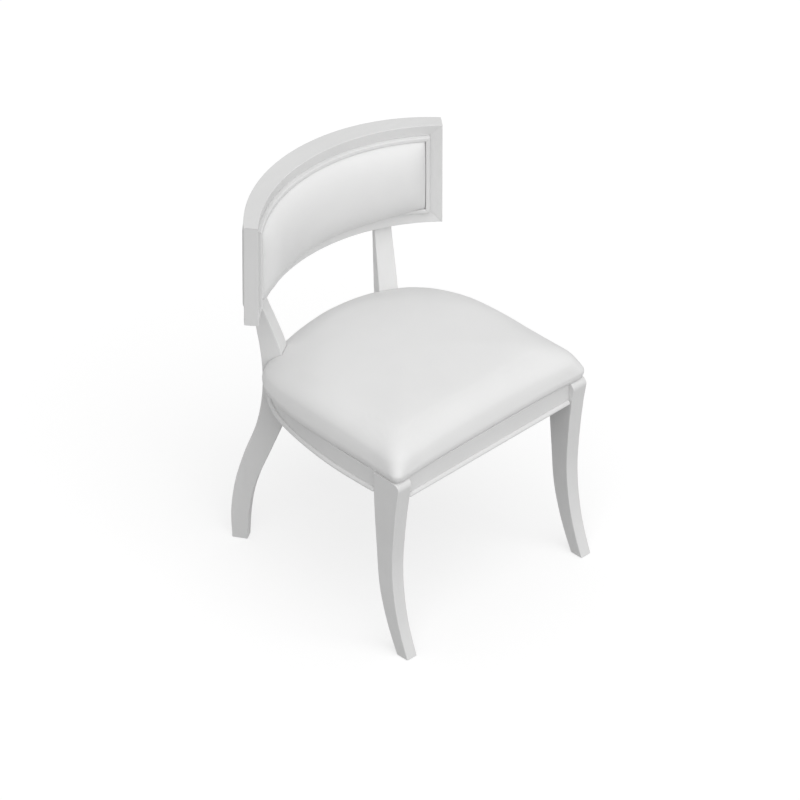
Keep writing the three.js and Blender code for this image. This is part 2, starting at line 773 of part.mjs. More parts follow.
// Points round the seat's widest outline, from the middle of the front anticlockwise, close at the corner
function seatOutline() {
  const corner_x = seat_half_width + seat_corner_flare - seat_corner_radius;
  const corner_y = seat_corner_radius - seat_corner_flare - seat_front_reach;
  const front_edge = new THREE.QuadraticBezierCurve(
    new THREE.Vector2(0, -seat_front_reach),
    new THREE.Vector2(corner_x * seat_tangent_share, -seat_front_reach),
    new THREE.Vector2(corner_x, corner_y - seat_corner_radius),
  );
  const corner = new THREE.ArcCurve(corner_x, corner_y, seat_corner_radius, -Math.PI / 2, 0);
  const side_edge = new THREE.QuadraticBezierCurve(
    new THREE.Vector2(corner_x + seat_corner_radius, corner_y),
    new THREE.Vector2(seat_half_width, corner_y * seat_tangent_share),
    new THREE.Vector2(seat_half_width, seat_straight_end),
  );
  const bowed = new THREE.SplineCurve(seat_outline_shares.map(([x, y]) => (
    new THREE.Vector2(x * seat_half_width, y * seat_rear_reach))));
  const right = [front_edge.getPoints(3), corner.getPoints(5), side_edge.getPoints(3)]
    .flatMap((points) => points.slice(0, -1))
    .concat(bowed.getSpacedPoints(11));
  const left = right.slice(1, -1).reverse().map(({ x, y }) => new THREE.Vector2(-x, y));
  return [...right, ...left];
}

const seat_outline = seatOutline();

function outlinePoint(i) {
  return seat_outline[(i + seat_outline.length) % seat_outline.length];
}

// How squarely the outline faces the seat's centre at a point
function facingAt(i) {
  const ahead = outlinePoint(i + 1);
  const behind = outlinePoint(i - 1);
  const normal = new THREE.Vector2(behind.y - ahead.y, ahead.x - behind.x).normalize();
  const inward = seat_centre.clone().sub(outlinePoint(i)).normalize();
  return Math.max(least_facing_share, inward.dot(normal));
}

// The least facing among near points, so that a corner is drawn in as far as the edges beside it
const seat_facing = seat_outline.map((_, i) => {
  const near_points = 3;
  let least = 1;
  for (let k = -near_points; k <= near_points; k += 1) least = Math.min(least, facingAt(i + k));
  return least;
});

// A point of the seat's outline moved in by a distance, towards the seat's centre
function insetPoint(i, inset) {
  const point = outlinePoint(i);
  const inward = seat_centre.clone().sub(point).normalize();
  return point.clone().addScaledVector(inward, inset / seat_facing[i]);
}

function seatPlate(inset, bottom, top) {
  return plate(seat_outline.map((_, i) => insetPoint(i, inset)), bottom, top);
}

const seat_profile_insets = new THREE.LinearInterpolant(seat_profile_shares.map((row) => row[0]),
  seat_profile_shares.map((row) => row[1]), 1);

// How much lower the seat's top lies towards the rear and at its corners
function seatDrop({ x, y }, height) {
  const rearward = Math.max(0, (y - seat_centre_y) / (seat_rear_reach - seat_centre_y));
  const forward = Math.max(0, (seat_centre_y - y) / (seat_front_reach + seat_centre_y));
  const sideways = (x / seat_half_width) ** 2;
  const lift = Math.max(0, height - foam_bottom) / (seat_bottom + seat_edge_height - foam_bottom);
  const rear = seat_rear_drop + seat_rear_corner_drop * sideways;
  return lift * (rear * rearward ** 2 + seat_front_corner_drop * sideways * forward ** 2);
}

// The crowned seat, drawn in by an offset, from a level upwards
function seatBody(offset, bottom) {
  const rise = seat_edge_height - offset;
  const bottom_share = (bottom - seat_bottom) / rise;
  const levels = seat_profile_shares.map(([level]) => level).filter((level) => level > bottom_share);
  const edge = [bottom_share, ...levels].map((level) => ({
    inset: offset + seat_profile_insets.evaluate(level)[0] * seat_edge_height,
    share: 1,
    height: seat_bottom + level * rise,
  }));
  const last = edge.at(-1);
  const crown = seat_crown_shares.map((share) => ({
    inset: last.inset, share, height: last.height + seat_crown * (1 - share ** 2),
  }));
  const rings = [{ ...edge[0], share: 0 }, ...edge, ...crown];
  const count = seat_outline.length;
  const profile = rings.map((ring, j) => new THREE.Vector2(ring.share, j));
  const geometry = new THREE.LatheGeometry(profile, count);
  const position = geometry.attributes.position;
  for (let k = 0; k < position.count; k += 1) {
    const { inset, share, height } = rings[k % rings.length];
    const i = Math.floor(k / rings.length) % count;
    const point = insetPoint(i, inset).sub(seat_centre).multiplyScalar(share).add(seat_centre);
    position.setXYZ(k, point.x, point.y, height - seatDrop(point, height));
  }
  return solidOf(geometry);
}

function notched(solid, clearance) {
  return sides.reduce((cut, [, side]) => cut.subtract(rearLeg(side, clearance)), solid);
}

function seatCover() {
  const outer = notched(seatBody(0, seat_bottom), seat_post_clearance);
  const hollow = notched(seatBody(seat_cover_thickness, seat_bottom + seat_cover_thickness),
    seat_post_clearance + seat_cover_thickness);
  const opening = seatPlate(seat_cover_return, seat_bottom - cut_overrun, board_bottom);
  return largestOf(outer.subtract(hollow).subtract(opening));
}

function seatFoam() {
  return largestOf(notched(seatBody(foam_offset, foam_bottom), seat_post_clearance + foam_offset));
}

function seatBoard() {
  const blank = seatPlate(seat_board_inset, board_bottom, board_top);
  let board = notched(blank, seat_post_clearance + foam_offset);
  for (const [, side] of sides) {
    const screws = [seatScrew(side, 'front'), seatScrew(side, 'rear')];
    board = withScrewHoles(board, screws, seat_screw_length);
  }
  return largestOf(board);
}

function dustCover() {
  const inset = (frame, share, side) => {
    const { point, out } = frame(share);
    const moved = point.clone().addScaledVector(out, -dust_cover_inset);
    return moved.setX(side * moved.x);
  };
  const steps = 16;
  const right = [];
  const rear = [];
  for (let i = 0; i <= steps; i += 1) right.push(inset(sideRailFrame, i / steps, 1));
  for (let i = 1; i < rear_rail_steps; i += 2) rear.push(inset(rearRailFrame, i / rear_rail_steps, 1));
  const left = right.map(({ x, y }) => new THREE.Vector2(-x, y)).reverse();
  const front_y = dust_cover_inset - front_rail_reach;
  const front = [left.at(-1), right[0]].map(({ x }) => new THREE.Vector2(x, front_y));
  const top = rail_bottom - fit_gap;
  let cloth = plate([...front, ...right, ...rear, ...left], top - dust_cover_thickness, top);
  for (const [, side] of sides) {
    cloth = cloth.subtract(frontLeg(side, fit_gap)).subtract(rearLeg(side, fit_gap));
  }
  return largestOf(cloth);
}

// Curved back

function arcOf(half_chord, rise, middle) {
  const radius = (half_chord ** 2 + rise ** 2) / (2 * rise);
  return { radius, centre: middle - radius, half_angle: Math.asin(half_chord / radius) };
}

const back_front = arcOf(back_front_half_chord, back_front_rise, back_front_middle);
const back_rear = arcOf(half_width, back_rear_rise, back_rear_middle);
const back_half_length = back_front.radius * back_front.half_angle;

function arcPoint(arc, share) {
  const angle = share * arc.half_angle;
  return new THREE.Vector2(arc.radius * Math.sin(angle), arc.centre + arc.radius * Math.cos(angle));
}

function backThickness(along) {
  const share = along / back_half_length;
  return arcPoint(back_rear, share).distanceTo(arcPoint(back_front, share));
}

// A point of the back by its length from the middle, its depth behind the front face and its height
function backPoint(along, depth, height) {
  const share = along / back_half_length;
  const front = arcPoint(back_front, share);
  const through = arcPoint(back_rear, share).sub(front).normalize();
  return new THREE.Vector3(front.x + through.x * depth, front.y + through.y * depth, back_bottom + height);
}

const back_end_thickness = backThickness(back_half_length);
const back_rail_steps = 20;

// Section of a frame member: x from the front face back, y in from the frame's outer edge
function backFrameSection() {
  const r = back_edge_radius;
  const points = [[0, 0], [back_end_thickness, 0], [back_end_thickness, back_frame_width],
    [back_frame_bevel, back_frame_width]].map(([x, y]) => new THREE.Vector2(x, y));
  return filletedShape(points, [r, 0, r, r]);
}

// Section of an inner bead: a stick with a round nose to the front
function backBeadSection() {
  const y0 = back_frame_width + fit_gap;
  const radius = back_bead_width / 2;
  const shape = new THREE.Shape();
  shape.moveTo(back_bead_recess + back_bead_depth, y0 + back_bead_width);
  shape.lineTo(back_bead_recess + radius, y0 + back_bead_width);
  shape.absarc(back_bead_recess + radius, y0 + radius, radius, Math.PI / 2, Math.PI * 1.5, false);
  shape.lineTo(back_bead_recess + back_bead_depth, y0);
  shape.closePath();
  return shape;
}

// Depth of a section point where the back is thicker than at its ends
function depthAt(x, along) {
  return x > back_end_thickness / 2 ? x + backThickness(along) - back_end_thickness : x;
}

// A member that runs along the top or bottom, with mitred ends
function backRailSweep(section, top, curveSegments) {
  return sweep(section, back_rail_steps, (x, y, ring) => {
    const along = (2 * ring / back_rail_steps - 1) * (back_half_length - y - fit_gap / 2);
    return backPoint(along, depthAt(x, along), top ? back_height - y : y);
  }, curveSegments);
}

// A member that stands at an end, with mitred ends
function backStileSweep(section, side, curveSegments) {
  return sweep(section, 1, (x, y, ring) => {
    const along = side * (back_half_length - y);
    const low = y + fit_gap / 2;
    return backPoint(along, depthAt(x, along), THREE.MathUtils.lerp(low, back_height - low, ring));
  }, curveSegments);
}

// A box in the back's own directions
function backBox(along0, along1, depth0, depth1, height0, height1) {
  const geometry = box(along0, along1, depth0, depth1, height0, height1);
  const position = geometry.attributes.position;
  for (let i = 0; i < position.count; i += 1) {
    const point = backPoint(position.getX(i), position.getY(i), position.getZ(i));
    position.setXYZ(i, point.x, point.y, point.z);
  }
  return solidOf(geometry);
}

function mitreSpline(side, top, grow = 0) {
  const half = spline_size / 2 + grow;
  const middle = back_frame_width / 2;
  const along = side * (back_half_length - middle);
  const height = top ? back_height - middle : middle;
  const depth = back_end_thickness / 2;
  const thin = spline_thickness / 2 + grow;
  return backBox(along - half, along + half, depth - thin, depth + thin, height - half, height + half);
}

function dowelEnds(side, end, grow) {
  const low = back_bottom + dowel_in_rail - dowel_length - grow;
  return [low, low + dowel_length + 2 * grow].map((z) => (
    rearLegPoint(side, dowel_reach, end * dowel_spacing / 2, z)));
}

function postDowelHole(side, end) {
  return rod(...dowelEnds(side, end, fit_gap), dowel_diameter + 2 * fit_gap);
}

function backTopRail() {
  const rail = backRailSweep(backFrameSection(), true);
  return sides.reduce((cut, [, side]) => cut.subtract(mitreSpline(side, true, fit_gap)), rail);
}

function backBottomRail() {
  let rail = backRailSweep(backFrameSection(), false);
  for (const [, side] of sides) {
    rail = rail.subtract(mitreSpline(side, false, fit_gap));
    for (const end of [-1, 1]) rail = rail.subtract(postDowelHole(side, end));
  }
  return rail;
}

function backStile(side) {
  return backStileSweep(backFrameSection(), side)
    .subtract(mitreSpline(side, true, fit_gap))
    .subtract(mitreSpline(side, false, fit_gap));
}

// Back board behind the beads, pad and cover inside them, outside back behind the board

const board_front_depth = back_bead_recess + back_bead_depth + fit_gap;
const window_inset = back_frame_width + fit_gap;
const pad_inset = window_inset + back_bead_width + fit_gap;
const pad_columns = 22;
const pad_rows = 10;
const outside_columns = 16;
const outside_rows = 6;

function backBoard() {
  const section = new THREE.Shape(rectangle(board_front_depth, board_front_depth + back_board_thickness,
    window_inset, back_height - window_inset));
  const half = back_half_length - window_inset;
  return sweep(section, back_rail_steps, (x, y, ring) => (
    backPoint((2 * ring / back_rail_steps - 1) * half, x, y)));
}

// A pad over the back's curve: a block of cells, closer together near its edges
function backPad(inset, columns, rows, layers, depthOf) {
  const geometry = new THREE.BoxGeometry(2, 2, 1, columns, rows, layers);
  const position = geometry.attributes.position;
  const half_length = back_half_length - inset;
  const half_height = back_height / 2 - inset;
  for (let i = 0; i < position.count; i += 1) {
    const along = Math.sin((Math.PI / 2) * position.getX(i)) * half_length;
    const up = Math.sin((Math.PI / 2) * position.getY(i)) * half_height;
    const edge = [half_length - Math.abs(along), half_height - Math.abs(up)];
    const depth = depthOf(position.getZ(i) + 0.5, along, edge);
    const point = backPoint(along, depth, back_height / 2 + up);
    position.setXYZ(i, point.x, point.y, point.z);
  }
  return solidOf(geometry);
}

// How full the pad is at a distance from its ends and from its long edges, where it rolls over
function padFullness([end, side]) {
  const rolled = (distance, roll) => Math.sqrt(1 - Math.max(0, 1 - distance / roll) ** 2);
  return rolled(end, back_pad_end_roll) * rolled(side, back_pad_roll);
}

function backPadBody(offset, back_depth) {
  return backPad(pad_inset + offset, pad_columns, pad_rows, 2, (front, along, edge) => {
    const full = padFullness(edge);
    const face = back_bead_depth / 2 + offset - back_pad_crown * full;
    return THREE.MathUtils.lerp(back_depth, face, front);
  });
}

function backFoam() {
  return backPadBody(back_cover_thickness + fit_gap, board_front_depth - fit_gap);
}

function backCover() {
  const outer = backPadBody(0, board_front_depth - fit_gap);
  return outer.subtract(backPadBody(back_cover_thickness, board_front_depth + cut_overrun));
}

function outsideBack() {
  const half_length = back_half_length - window_inset;
  const half_height = back_height / 2 - window_inset;
  return backPad(window_inset, outside_columns, outside_rows, 1, (front, along, [end, side]) => {
    const across = ((half_length - end) / half_length) ** 2;
    const up = ((half_height - side) / half_height) ** 2;
    const full = (1 - across) * (1 - up);
    const rear = backThickness(along);
    const face = rear + outside_back_proud + outside_back_crown * full;
    return front > 0.5 ? rear - outside_back_thickness : face;
  });
}

// Assembly

const frame_group = new THREE.Group();
const seat_group = new THREE.Group();
const back_group = new THREE.Group();
const bead_arc_steps = 4;
chair.add(frame_group, seat_group, back_group);

for (const [name, side] of sides) {
  addPiece(`front_leg_${name}`, mortisedFrontLeg(side), white_paint, frame_group);
  addPiece(`rear_leg_${name}`, mortisedRearLeg(side), white_paint, frame_group);
  const rail_screws = [blockScrews(side).front[1], blockScrews(side).rear[0]];
  const side_rail = withScrewHoles(sideRail(side), rail_screws, block_screw_length);
  addPiece(`side_rail_${name}`, side_rail, white_paint, frame_group);
  addPiece(`side_bead_${name}`, sideBead(side), white_paint, frame_group);
  for (const end of ['front', 'rear']) {
    addPiece(`corner_block_${end}_${name}`, cornerBlock(side, end), bare_wood, frame_group);
  }
}
const front_screws = sides.map(([, side]) => blockScrews(side).front[0]);
const rear_screws = sides.map(([, side]) => blockScrews(side).rear[1]);
const front_rail = withScrewHoles(frontRail(), front_screws, block_screw_length);
const rear_rail = withScrewHoles(rearRail(), rear_screws, block_screw_length);
addPiece('front_rail', front_rail, white_paint, frame_group);
addPiece('rear_rail', rear_rail, white_paint, frame_group);
addPiece('front_bead', frontBead(), white_paint, frame_group);

const block_screw = screwSolid(block_screw_length);
const seat_screw = screwSolid(seat_screw_length);
for (const [name, side] of sides) {
  for (const end of ['front', 'rear']) {
    blockScrews(side)[end].forEach((screw, i) => {
      addScrew(`block_screw_${end}_${name}_${i + 1}`, block_screw, screw);
    });
    addScrew(`seat_screw_${end}_${name}`, seat_screw, seatScrew(side, end));
  }
}
addGlides();

addPiece('seat_board', seatBoard(), plywood, seat_group);
addPiece('seat_foam', seatFoam(), foam, seat_group);
addPiece('seat_cover', seatCover(), white_leather, seat_group);
addPiece('dust_cover', dustCover(), black_cloth, seat_group);

addPiece('back_top_rail', backTopRail(), white_paint, back_group);
addPiece('back_bottom_rail', backBottomRail(), white_paint, back_group);
for (const [place, top] of [['top', true], ['bottom', false]]) {
  const strip = backRailSweep(backBeadSection(), top, bead_arc_steps);
  addPiece(`back_bead_${place}`, strip, white_paint, back_group);
}
for (const [name, side] of sides) {
  addPiece(`back_stile_${name}`, backStile(side), white_paint, back_group);
  const strip = backStileSweep(backBeadSection(), side, bead_arc_steps);
  addPiece(`back_bead_${name}`, strip, white_paint, back_group);
  addPiece(`mitre_spline_top_${name}`, mitreSpline(side, true), bare_wood, back_group);
  addPiece(`mitre_spline_bottom_${name}`, mitreSpline(side, false), bare_wood, back_group);
  for (const [place, end] of [['inner', -1], ['outer', 1]]) {
    const dowel = rod(...dowelEnds(side, end, 0), dowel_diameter);
    addPiece(`post_dowel_${name}_${place}`, dowel, bare_wood, back_group);
  }
}
addPiece('back_board', backBoard(), plywood, back_group);
addPiece('back_foam', backFoam(), foam, back_group);
addPiece('back_cover', backCover(), white_leather, back_group);
addPiece('outside_back', outsideBack(), white_leather, back_group);

export default chair;
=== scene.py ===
import math

import bpy
import numpy
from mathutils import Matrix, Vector
from mathutils.kdtree import KDTree


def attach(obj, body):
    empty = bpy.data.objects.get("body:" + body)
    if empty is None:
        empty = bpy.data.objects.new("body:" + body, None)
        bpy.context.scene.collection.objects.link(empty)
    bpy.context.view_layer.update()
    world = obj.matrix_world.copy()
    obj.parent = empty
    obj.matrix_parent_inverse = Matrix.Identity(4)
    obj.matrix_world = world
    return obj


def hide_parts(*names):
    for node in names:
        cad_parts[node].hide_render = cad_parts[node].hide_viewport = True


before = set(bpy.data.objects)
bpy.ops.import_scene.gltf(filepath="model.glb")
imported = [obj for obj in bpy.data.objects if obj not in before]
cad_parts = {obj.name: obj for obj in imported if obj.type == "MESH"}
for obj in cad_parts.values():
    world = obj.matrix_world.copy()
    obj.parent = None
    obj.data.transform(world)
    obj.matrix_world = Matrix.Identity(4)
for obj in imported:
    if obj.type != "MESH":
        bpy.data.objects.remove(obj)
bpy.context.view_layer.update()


# Front legs: sabre legs sawn from beech plank, each in one piece with its rounded knee beside the seat rail.
# The sprayed satin lacquer has a fine orange peel, the grain shows through it faintly and the edges are
# softened.

class Wire:
    """One socket of a finish, which can be used in sums and fed to more nodes."""

    def __init__(self, tree, socket=None):
        self.tree = tree
        self.socket = socket

    def node(self, kind, settings=(), sockets=(), out=0):
        node = self.tree.nodes.new("ShaderNode" + kind)
        for name, value in dict(settings).items():
            setattr(node, name, value)
        for name, value in dict(sockets).items():
            if isinstance(value, Wire):
                self.tree.links.new(value.socket, node.inputs[name])
            else:
                node.inputs[name].default_value = value
        return Wire(self.tree, node.outputs[out])

    def reckon(self, operation, *values):
        return self.node("Math", {"operation": operation}, dict(enumerate(values)))

    def __add__(self, other):
        return self.reckon("ADD", self, other)

    __radd__ = __add__

    def __mul__(self, other):
        return self.reckon("MULTIPLY", self, other)

    __rmul__ = __mul__

    def between(self, low, high):
        """This number eased from 0 at low to 1 at high."""
        settings = {"interpolation_type": "SMOOTHSTEP"}
        return self.node("MapRange", settings, {"Value": self, "From Min": low, "From Max": high})

    def tint(self, low, high):
        """A colour from low to high as this number goes from 0 to 1."""
        return self.node("Mix", {"data_type": "RGBA"}, {0: self, 6: low, 7: high}, out=2)

    def stretched(self, scale):
        return self.node("Mapping", {"vector_type": "POINT"}, {"Vector": self, "Scale": scale})

    def noise(self, scale, detail=2.0, roughness=0.5):
        return self.node("TexNoise", sockets={
            "Vector": self, "Scale": scale, "Detail": detail, "Roughness": roughness})

    def bump(self, depth, under=None):
        """A normal from this height, with its full depth in metres."""
        sockets = {"Height": self, "Distance": depth}
        if under:
            sockets["Normal"] = under
        return self.node("Bump", sockets=sockets)


def finish(name, **shader):
    """A new material with plain values on its shader's sockets, and its Object coordinates."""
    material = bpy.data.materials.new(name)
    material.use_nodes = True
    for socket, value in shader.items():
        material.node_tree.nodes["Principled BSDF"].inputs[socket.replace("_", " ")].default_value = value
    return material, Wire(material.node_tree).node("TexCoord", out=3)


def coat(material, **wires):
    """Feeds wires to the sockets of a material's shader."""
    principled = material.node_tree.nodes["Principled BSDF"]
    for socket, wire in wires.items():
        material.node_tree.links.new(wire.socket, principled.inputs[socket.replace("_", " ")])


lacquer_white = (0.756, 0.756, 0.754, 1)
lacquer_shade = (0.728, 0.728, 0.726, 1)
grain_depth = 0.00004
peel_depth = 0.00003


def lacquer(name, grain):
    """Satin off-white lacquer on wood whose grain is stretched by the three scales."""
    material, place = finish(name, IOR=1.45)
    peel = place.noise(420, 2)
    fibres = place.stretched(grain).noise(60, 4, 0.6)
    clouds = place.noise(9, 3)
    tone = clouds * 0.6 + fibres * 0.4
    rubbed = place.noise(38, 3)
    coat(material,
         Base_Color=tone.between(0.3, 0.7).tint(lacquer_shade, lacquer_white),
         Roughness=0.38 + rubbed.between(0.3, 0.7) * 0.1,
         Normal=fibres.bump(grain_depth, under=peel.bump(peel_depth)))
    return material


upright_lacquer = lacquer("upright_lacquer", (1, 1, 0.06))

glide_height = 0.001
rail_top = 0.397
knee_radius = 0.015
foot_chamfer = 0.0006
leg_edge_radius = 0.002

front_leg_centre = 0.2342
front_leg_foot_width = 0.0246
front_leg_widening = 0.0114
front_leg_front_least = 0.2347
front_leg_front_sweep = 0.03835
front_leg_back_least = 0.187
front_leg_back_sweep = 0.05705
shaft_rings = 90
knee_rings = 12

# Shares of the leg's height, each with the share of a face's sweep that it stands forward there
front_leg_front_shares = [(0, 1), (0.09, 0.66), (0.181, 0.378), (0.33, 0.099), (0.479, 0), (0.594, 0.042),
                          (0.856, 0.313), (1, 0.56)]
front_leg_back_shares = [(0, 1), (0.1, 0.7), (0.219, 0.421), (0.355, 0.21), (0.559, 0.105), (0.877, 0),
                         (1, 0)]


def active():
    return bpy.context.view_layer.objects.active


def deselect():
    bpy.ops.object.select_all(action="DESELECT")


def pick(piece):
    deselect()
    piece.select_set(True)
    bpy.context.view_layer.objects.active = piece


def smooth_through(table, place):
    """The value at a place on a smooth curve through rows of place and value."""
    i = max(1, min(len(table) - 1, sum(row[0] <= place for row in table)))
    (start, first), (end, last) = table[i - 1], table[i]
    before = table[i - 2] if i > 1 else table[i]
    after = table[i + 1] if i + 1 < len(table) else table[i - 1]
    p = (place - start) / (end - start)
    lead = (end - start) / 2 / (start - before[0])
    lag = (end - start) / 2 / (after[0] - end)
    return (before[1] * (-lead * p ** 3 + 2 * lead * p * p - lead * p)
            + first * ((1 + lead) * p ** 3 - (1.5 + 2 * lead) * p * p + (lead - 0.5) * p + 1)
            + last * (-(1 + lag) * p ** 3 + (1.5 + lag) * p * p + 0.5 * p)
            + after[1] * (lag * p ** 3 - lag * p * p))


def eased(corners, radii, beside=1.5):
    """A closed outline with rounded corners, and a point beside each rounding that keeps the flats flat."""
    loop = []
    for i, radius in enumerate(radii):
        corner = Vector(corners[i])
        back = (Vector(corners[i - 1]) - corner).normalized() * radius
        on = (Vector(corners[(i + 1) % len(corners)]) - corner).normalized() * radius
        loop.append(corner + back * beside)
        loop += [corner + back * (1 - t) ** 2 + on * t * t for t in (0, 0.2, 0.4, 0.6, 0.8, 1)]
        loop.append(corner + on * beside)
    return loop


def stick(width, depth, radius):
    """An oblong about the origin with its corners eased."""
    x, y = width / 2, depth / 2
    return eased([(x, y), (-x, y), (-x, -y), (x, -y)], [radius] * 4)


def lofted(name, loops):
    """A closed form drawn up from a round disc, ring by ring."""
    deselect()
    bpy.ops.mesh.primitive_circle_add(vertices=len(loops[0]), radius=1, fill_type="NGON")
    piece = active()
    piece.name = name
    for vertex, point in zip(piece.data.vertices, loops[0]):
        vertex.co = point
    for loop in loops[1:]:
        lower = len(piece.data.vertices) - len(loop)
        bpy.ops.object.mode_set(mode="EDIT")
        bpy.ops.mesh.extrude_region_move()
        bpy.ops.object.mode_set(mode="OBJECT")
        for k, point in enumerate(loop):
            piece.data.vertices[lower + len(loop) + k].co = point
    bpy.ops.object.mode_set(mode="EDIT")
    bpy.ops.mesh.select_all(action="SELECT")
    bpy.ops.mesh.normals_make_consistent(inside=False)
    bpy.ops.object.mode_set(mode="OBJECT")
    return piece


def softened(piece, degrees=35):
    """Shades a piece smoothly, with its edges sharper than so many degrees left crisp."""
    pick(piece)
    bpy.ops.object.shade_smooth_by_angle(angle=math.radians(degrees))


def mirrored(piece, name):
    """A copy of a right-hand piece for the left."""
    pick(piece)
    bpy.ops.object.duplicate()
    copy = active()
    copy.name = name
    for vertex in copy.data.vertices:
        vertex.co.x *= -1
    bpy.ops.object.mode_set(mode="EDIT")
    bpy.ops.mesh.select_all(action="SELECT")
    bpy.ops.mesh.flip_normals()
    bpy.ops.object.mode_set(mode="OBJECT")
    return copy


def painted(piece, node, material):
    """Gives a finished wooden piece its lacquer and its place in the frame."""
    piece.data.materials.clear()
    piece.data.materials.append(material)
    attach(piece, "root")
    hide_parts(node)


def front_leg_section(height):
    """Reach to the front, reach to the back and width of a front leg at a height."""
    share = (height - glide_height) / (rail_top - glide_height)
    above = max(0, height - (rail_top - knee_radius))
    rounding = knee_radius - math.sqrt(max(0, knee_radius ** 2 - above ** 2))
    front = front_leg_front_least + front_leg_front_sweep * smooth_through(front_leg_front_shares, share)
    back = front_leg_back_least + front_leg_back_sweep * smooth_through(front_leg_back_shares, share)
    return front - rounding, back, front_leg_foot_width + front_leg_widening * share


def front_leg_loops():
    shaft = rail_top - knee_radius - glide_height
    heights = [glide_height, glide_height + foot_chamfer]
    heights += [glide_height + shaft * k / shaft_rings for k in range(1, shaft_rings + 1)]
    heights += [rail_top - knee_radius * (1 - math.sin(math.pi / 2 * k / knee_rings))
                for k in range(1, knee_rings + 1)]
    for height in heights:
        front, back, width = front_leg_section(height)
        chamfer = foot_chamfer if height == glide_height else 0
        yield [Vector((front_leg_centre + point.x, point.y - (front + back) / 2, height))
               for point in stick(width - 2 * chamfer, front - back - 2 * chamfer, leg_edge_radius)]


front_leg = lofted("sabre_front_right", list(front_leg_loops()))
softened(front_leg)
painted(mirrored(front_leg, "sabre_front_left"), "front_leg_left", upright_lacquer)
painted(front_leg, "front_leg_right", upright_lacquer)


# Rear legs: sabre legs that run on above the seat as the posts of the back, turned outwards 30 degrees. They
# are sawn from beech plank and lacquered like the front ones, and dowelled up into the back's bottom rail.

rear_leg_turn = math.radians(30)
rear_leg_plane = 0.038
rear_leg_height = 0.5739
rear_leg_foot_width = 0.0215
rear_leg_widest = 0.0375
rear_leg_top_width = 0.0335
rear_leg_widest_share = 0.76
rear_leg_front_least = 0.198
rear_leg_front_sweep = 0.0865
rear_leg_back_least = 0.2516
rear_leg_back_sweep = 0.0634
rear_leg_rings = 130

# Shares of the leg's height, each with the share of a face's sweep that it stands back there
rear_leg_back_shares = [(0, 1), (0.108, 1.024), (0.233, 0.888), (0.354, 0.601), (0.486, 0.199),
                        (0.603, 0.022), (0.716, 0), (0.814, 0.093), (0.866, 0.172), (0.967, 0.29), (1, 0.33)]
rear_leg_front_shares = [(0, 1), (0.106, 0.96), (0.193, 0.874), (0.267, 0.732), (0.378, 0.451),
                         (0.469, 0.227), (0.54, 0.065), (0.611, 0), (0.692, 0.012), (0.793, 0.188),
                         (0.876, 0.384), (0.948, 0.578), (1, 0.694)]


def rear_leg_width(height):
    share = (height - glide_height) / (rear_leg_height - glide_height)
    if share < rear_leg_widest_share:
        return rear_leg_foot_width + (rear_leg_widest - rear_leg_foot_width) * share / rear_leg_widest_share
    past = (share - rear_leg_widest_share) / (1 - rear_leg_widest_share)
    return rear_leg_widest - (rear_leg_widest - rear_leg_top_width) * past


def rear_leg_point(reach, out, height):
    """A point at a reach from the chair's middle, an offset outwards from the leg's plane and a height."""
    across = rear_leg_plane + out
    return Vector((reach * math.sin(rear_leg_turn) + across * math.cos(rear_leg_turn),
                   reach * math.cos(rear_leg_turn) - across * math.sin(rear_leg_turn), height))


def rear_leg_loops(heights, grown=0):
    """The outlines of a rear leg at some heights, grown all round by so much."""
    for height in heights:
        share = (height - glide_height) / (rear_leg_height - glide_height)
        front = rear_leg_front_least + rear_leg_front_sweep * smooth_through(rear_leg_front_shares, share)
        back = rear_leg_back_least + rear_leg_back_sweep * smooth_through(rear_leg_back_shares, share)
        chamfer = foot_chamfer if height == glide_height else 0
        depth = back - front + 2 * (grown - chamfer)
        yield [rear_leg_point((front + back) / 2 + point.y, point.x, height)
               for point in stick(rear_leg_width(height) + 2 * grown, depth, leg_edge_radius)]


rear_leg_heights = [glide_height, glide_height + foot_chamfer]
rear_leg_heights += [glide_height + (rear_leg_height - glide_height) * k / rear_leg_rings
                     for k in range(1, rear_leg_rings + 1)]
rear_leg = lofted("sabre_rear_right", list(rear_leg_loops(rear_leg_heights)))
softened(rear_leg)
painted(mirrored(rear_leg, "sabre_rear_left"), "rear_leg_left", upright_lacquer)
painted(rear_leg, "rear_leg_right", upright_lacquer)


# Seat rails: beech 22 mm thick and 46 mm high, the front one straight, the side ones bowed in towards the
# rear and the rear one bent to a wide arc, all tenoned into the legs and lacquered with them.

crosswise_lacquer = lacquer("crosswise_lacquer", (0.06, 1, 1))
lengthwise_lacquer = lacquer("lengthwise_lacquer", (1, 0.06, 1))

rail_bottom = 0.351
rail_middle = (rail_top + rail_bottom) / 2
rail_thickness = 0.022
rail_edge_radius = 0.0015
fit_gap = 0.0003

front_rail_reach = 0.2415
side_rail_reach = 0.2456
side_rail_start = 0.1867
side_rail_run = 0.371892
side_rail_bow = 0.095047
rear_rail_reach = 0.206
rear_rail_half = 0.135
rear_rail_radius = 0.496
rear_joint_reach = 0.23
rear_leg_face_lean = 0.0184

# Shares of the side rail's bow and of its run
side_rail_bow_shares = [(0, 0), (0, 0.18), (0.031, 0.336), (0.1163, 0.503), (0.2403, 0.664),
                        (0.3798, 0.785), (0.5685, 0.887), (0.7674, 0.96), (1, 1.019)]


def through(points, steps):
    """Points on a smooth curve through the given ones, with so many steps from each to the next."""
    curve = []
    for i in range(len(points) - 1):
        a, b = points[max(i - 1, 0)], points[i]
        c, d = points[i + 1], points[min(i + 2, len(points) - 1)]
        for k in range(steps):
            t = k / steps
            curve.append(tuple(0.5 * (2 * q + (r - p) * t + (2 * p - 5 * q + 4 * r - s) * t * t
                                      + (3 * q - p - 3 * r + s) * t ** 3)
                               for p, q, r, s in zip(a, b, c, d)))
    return curve + [tuple(points[-1])]


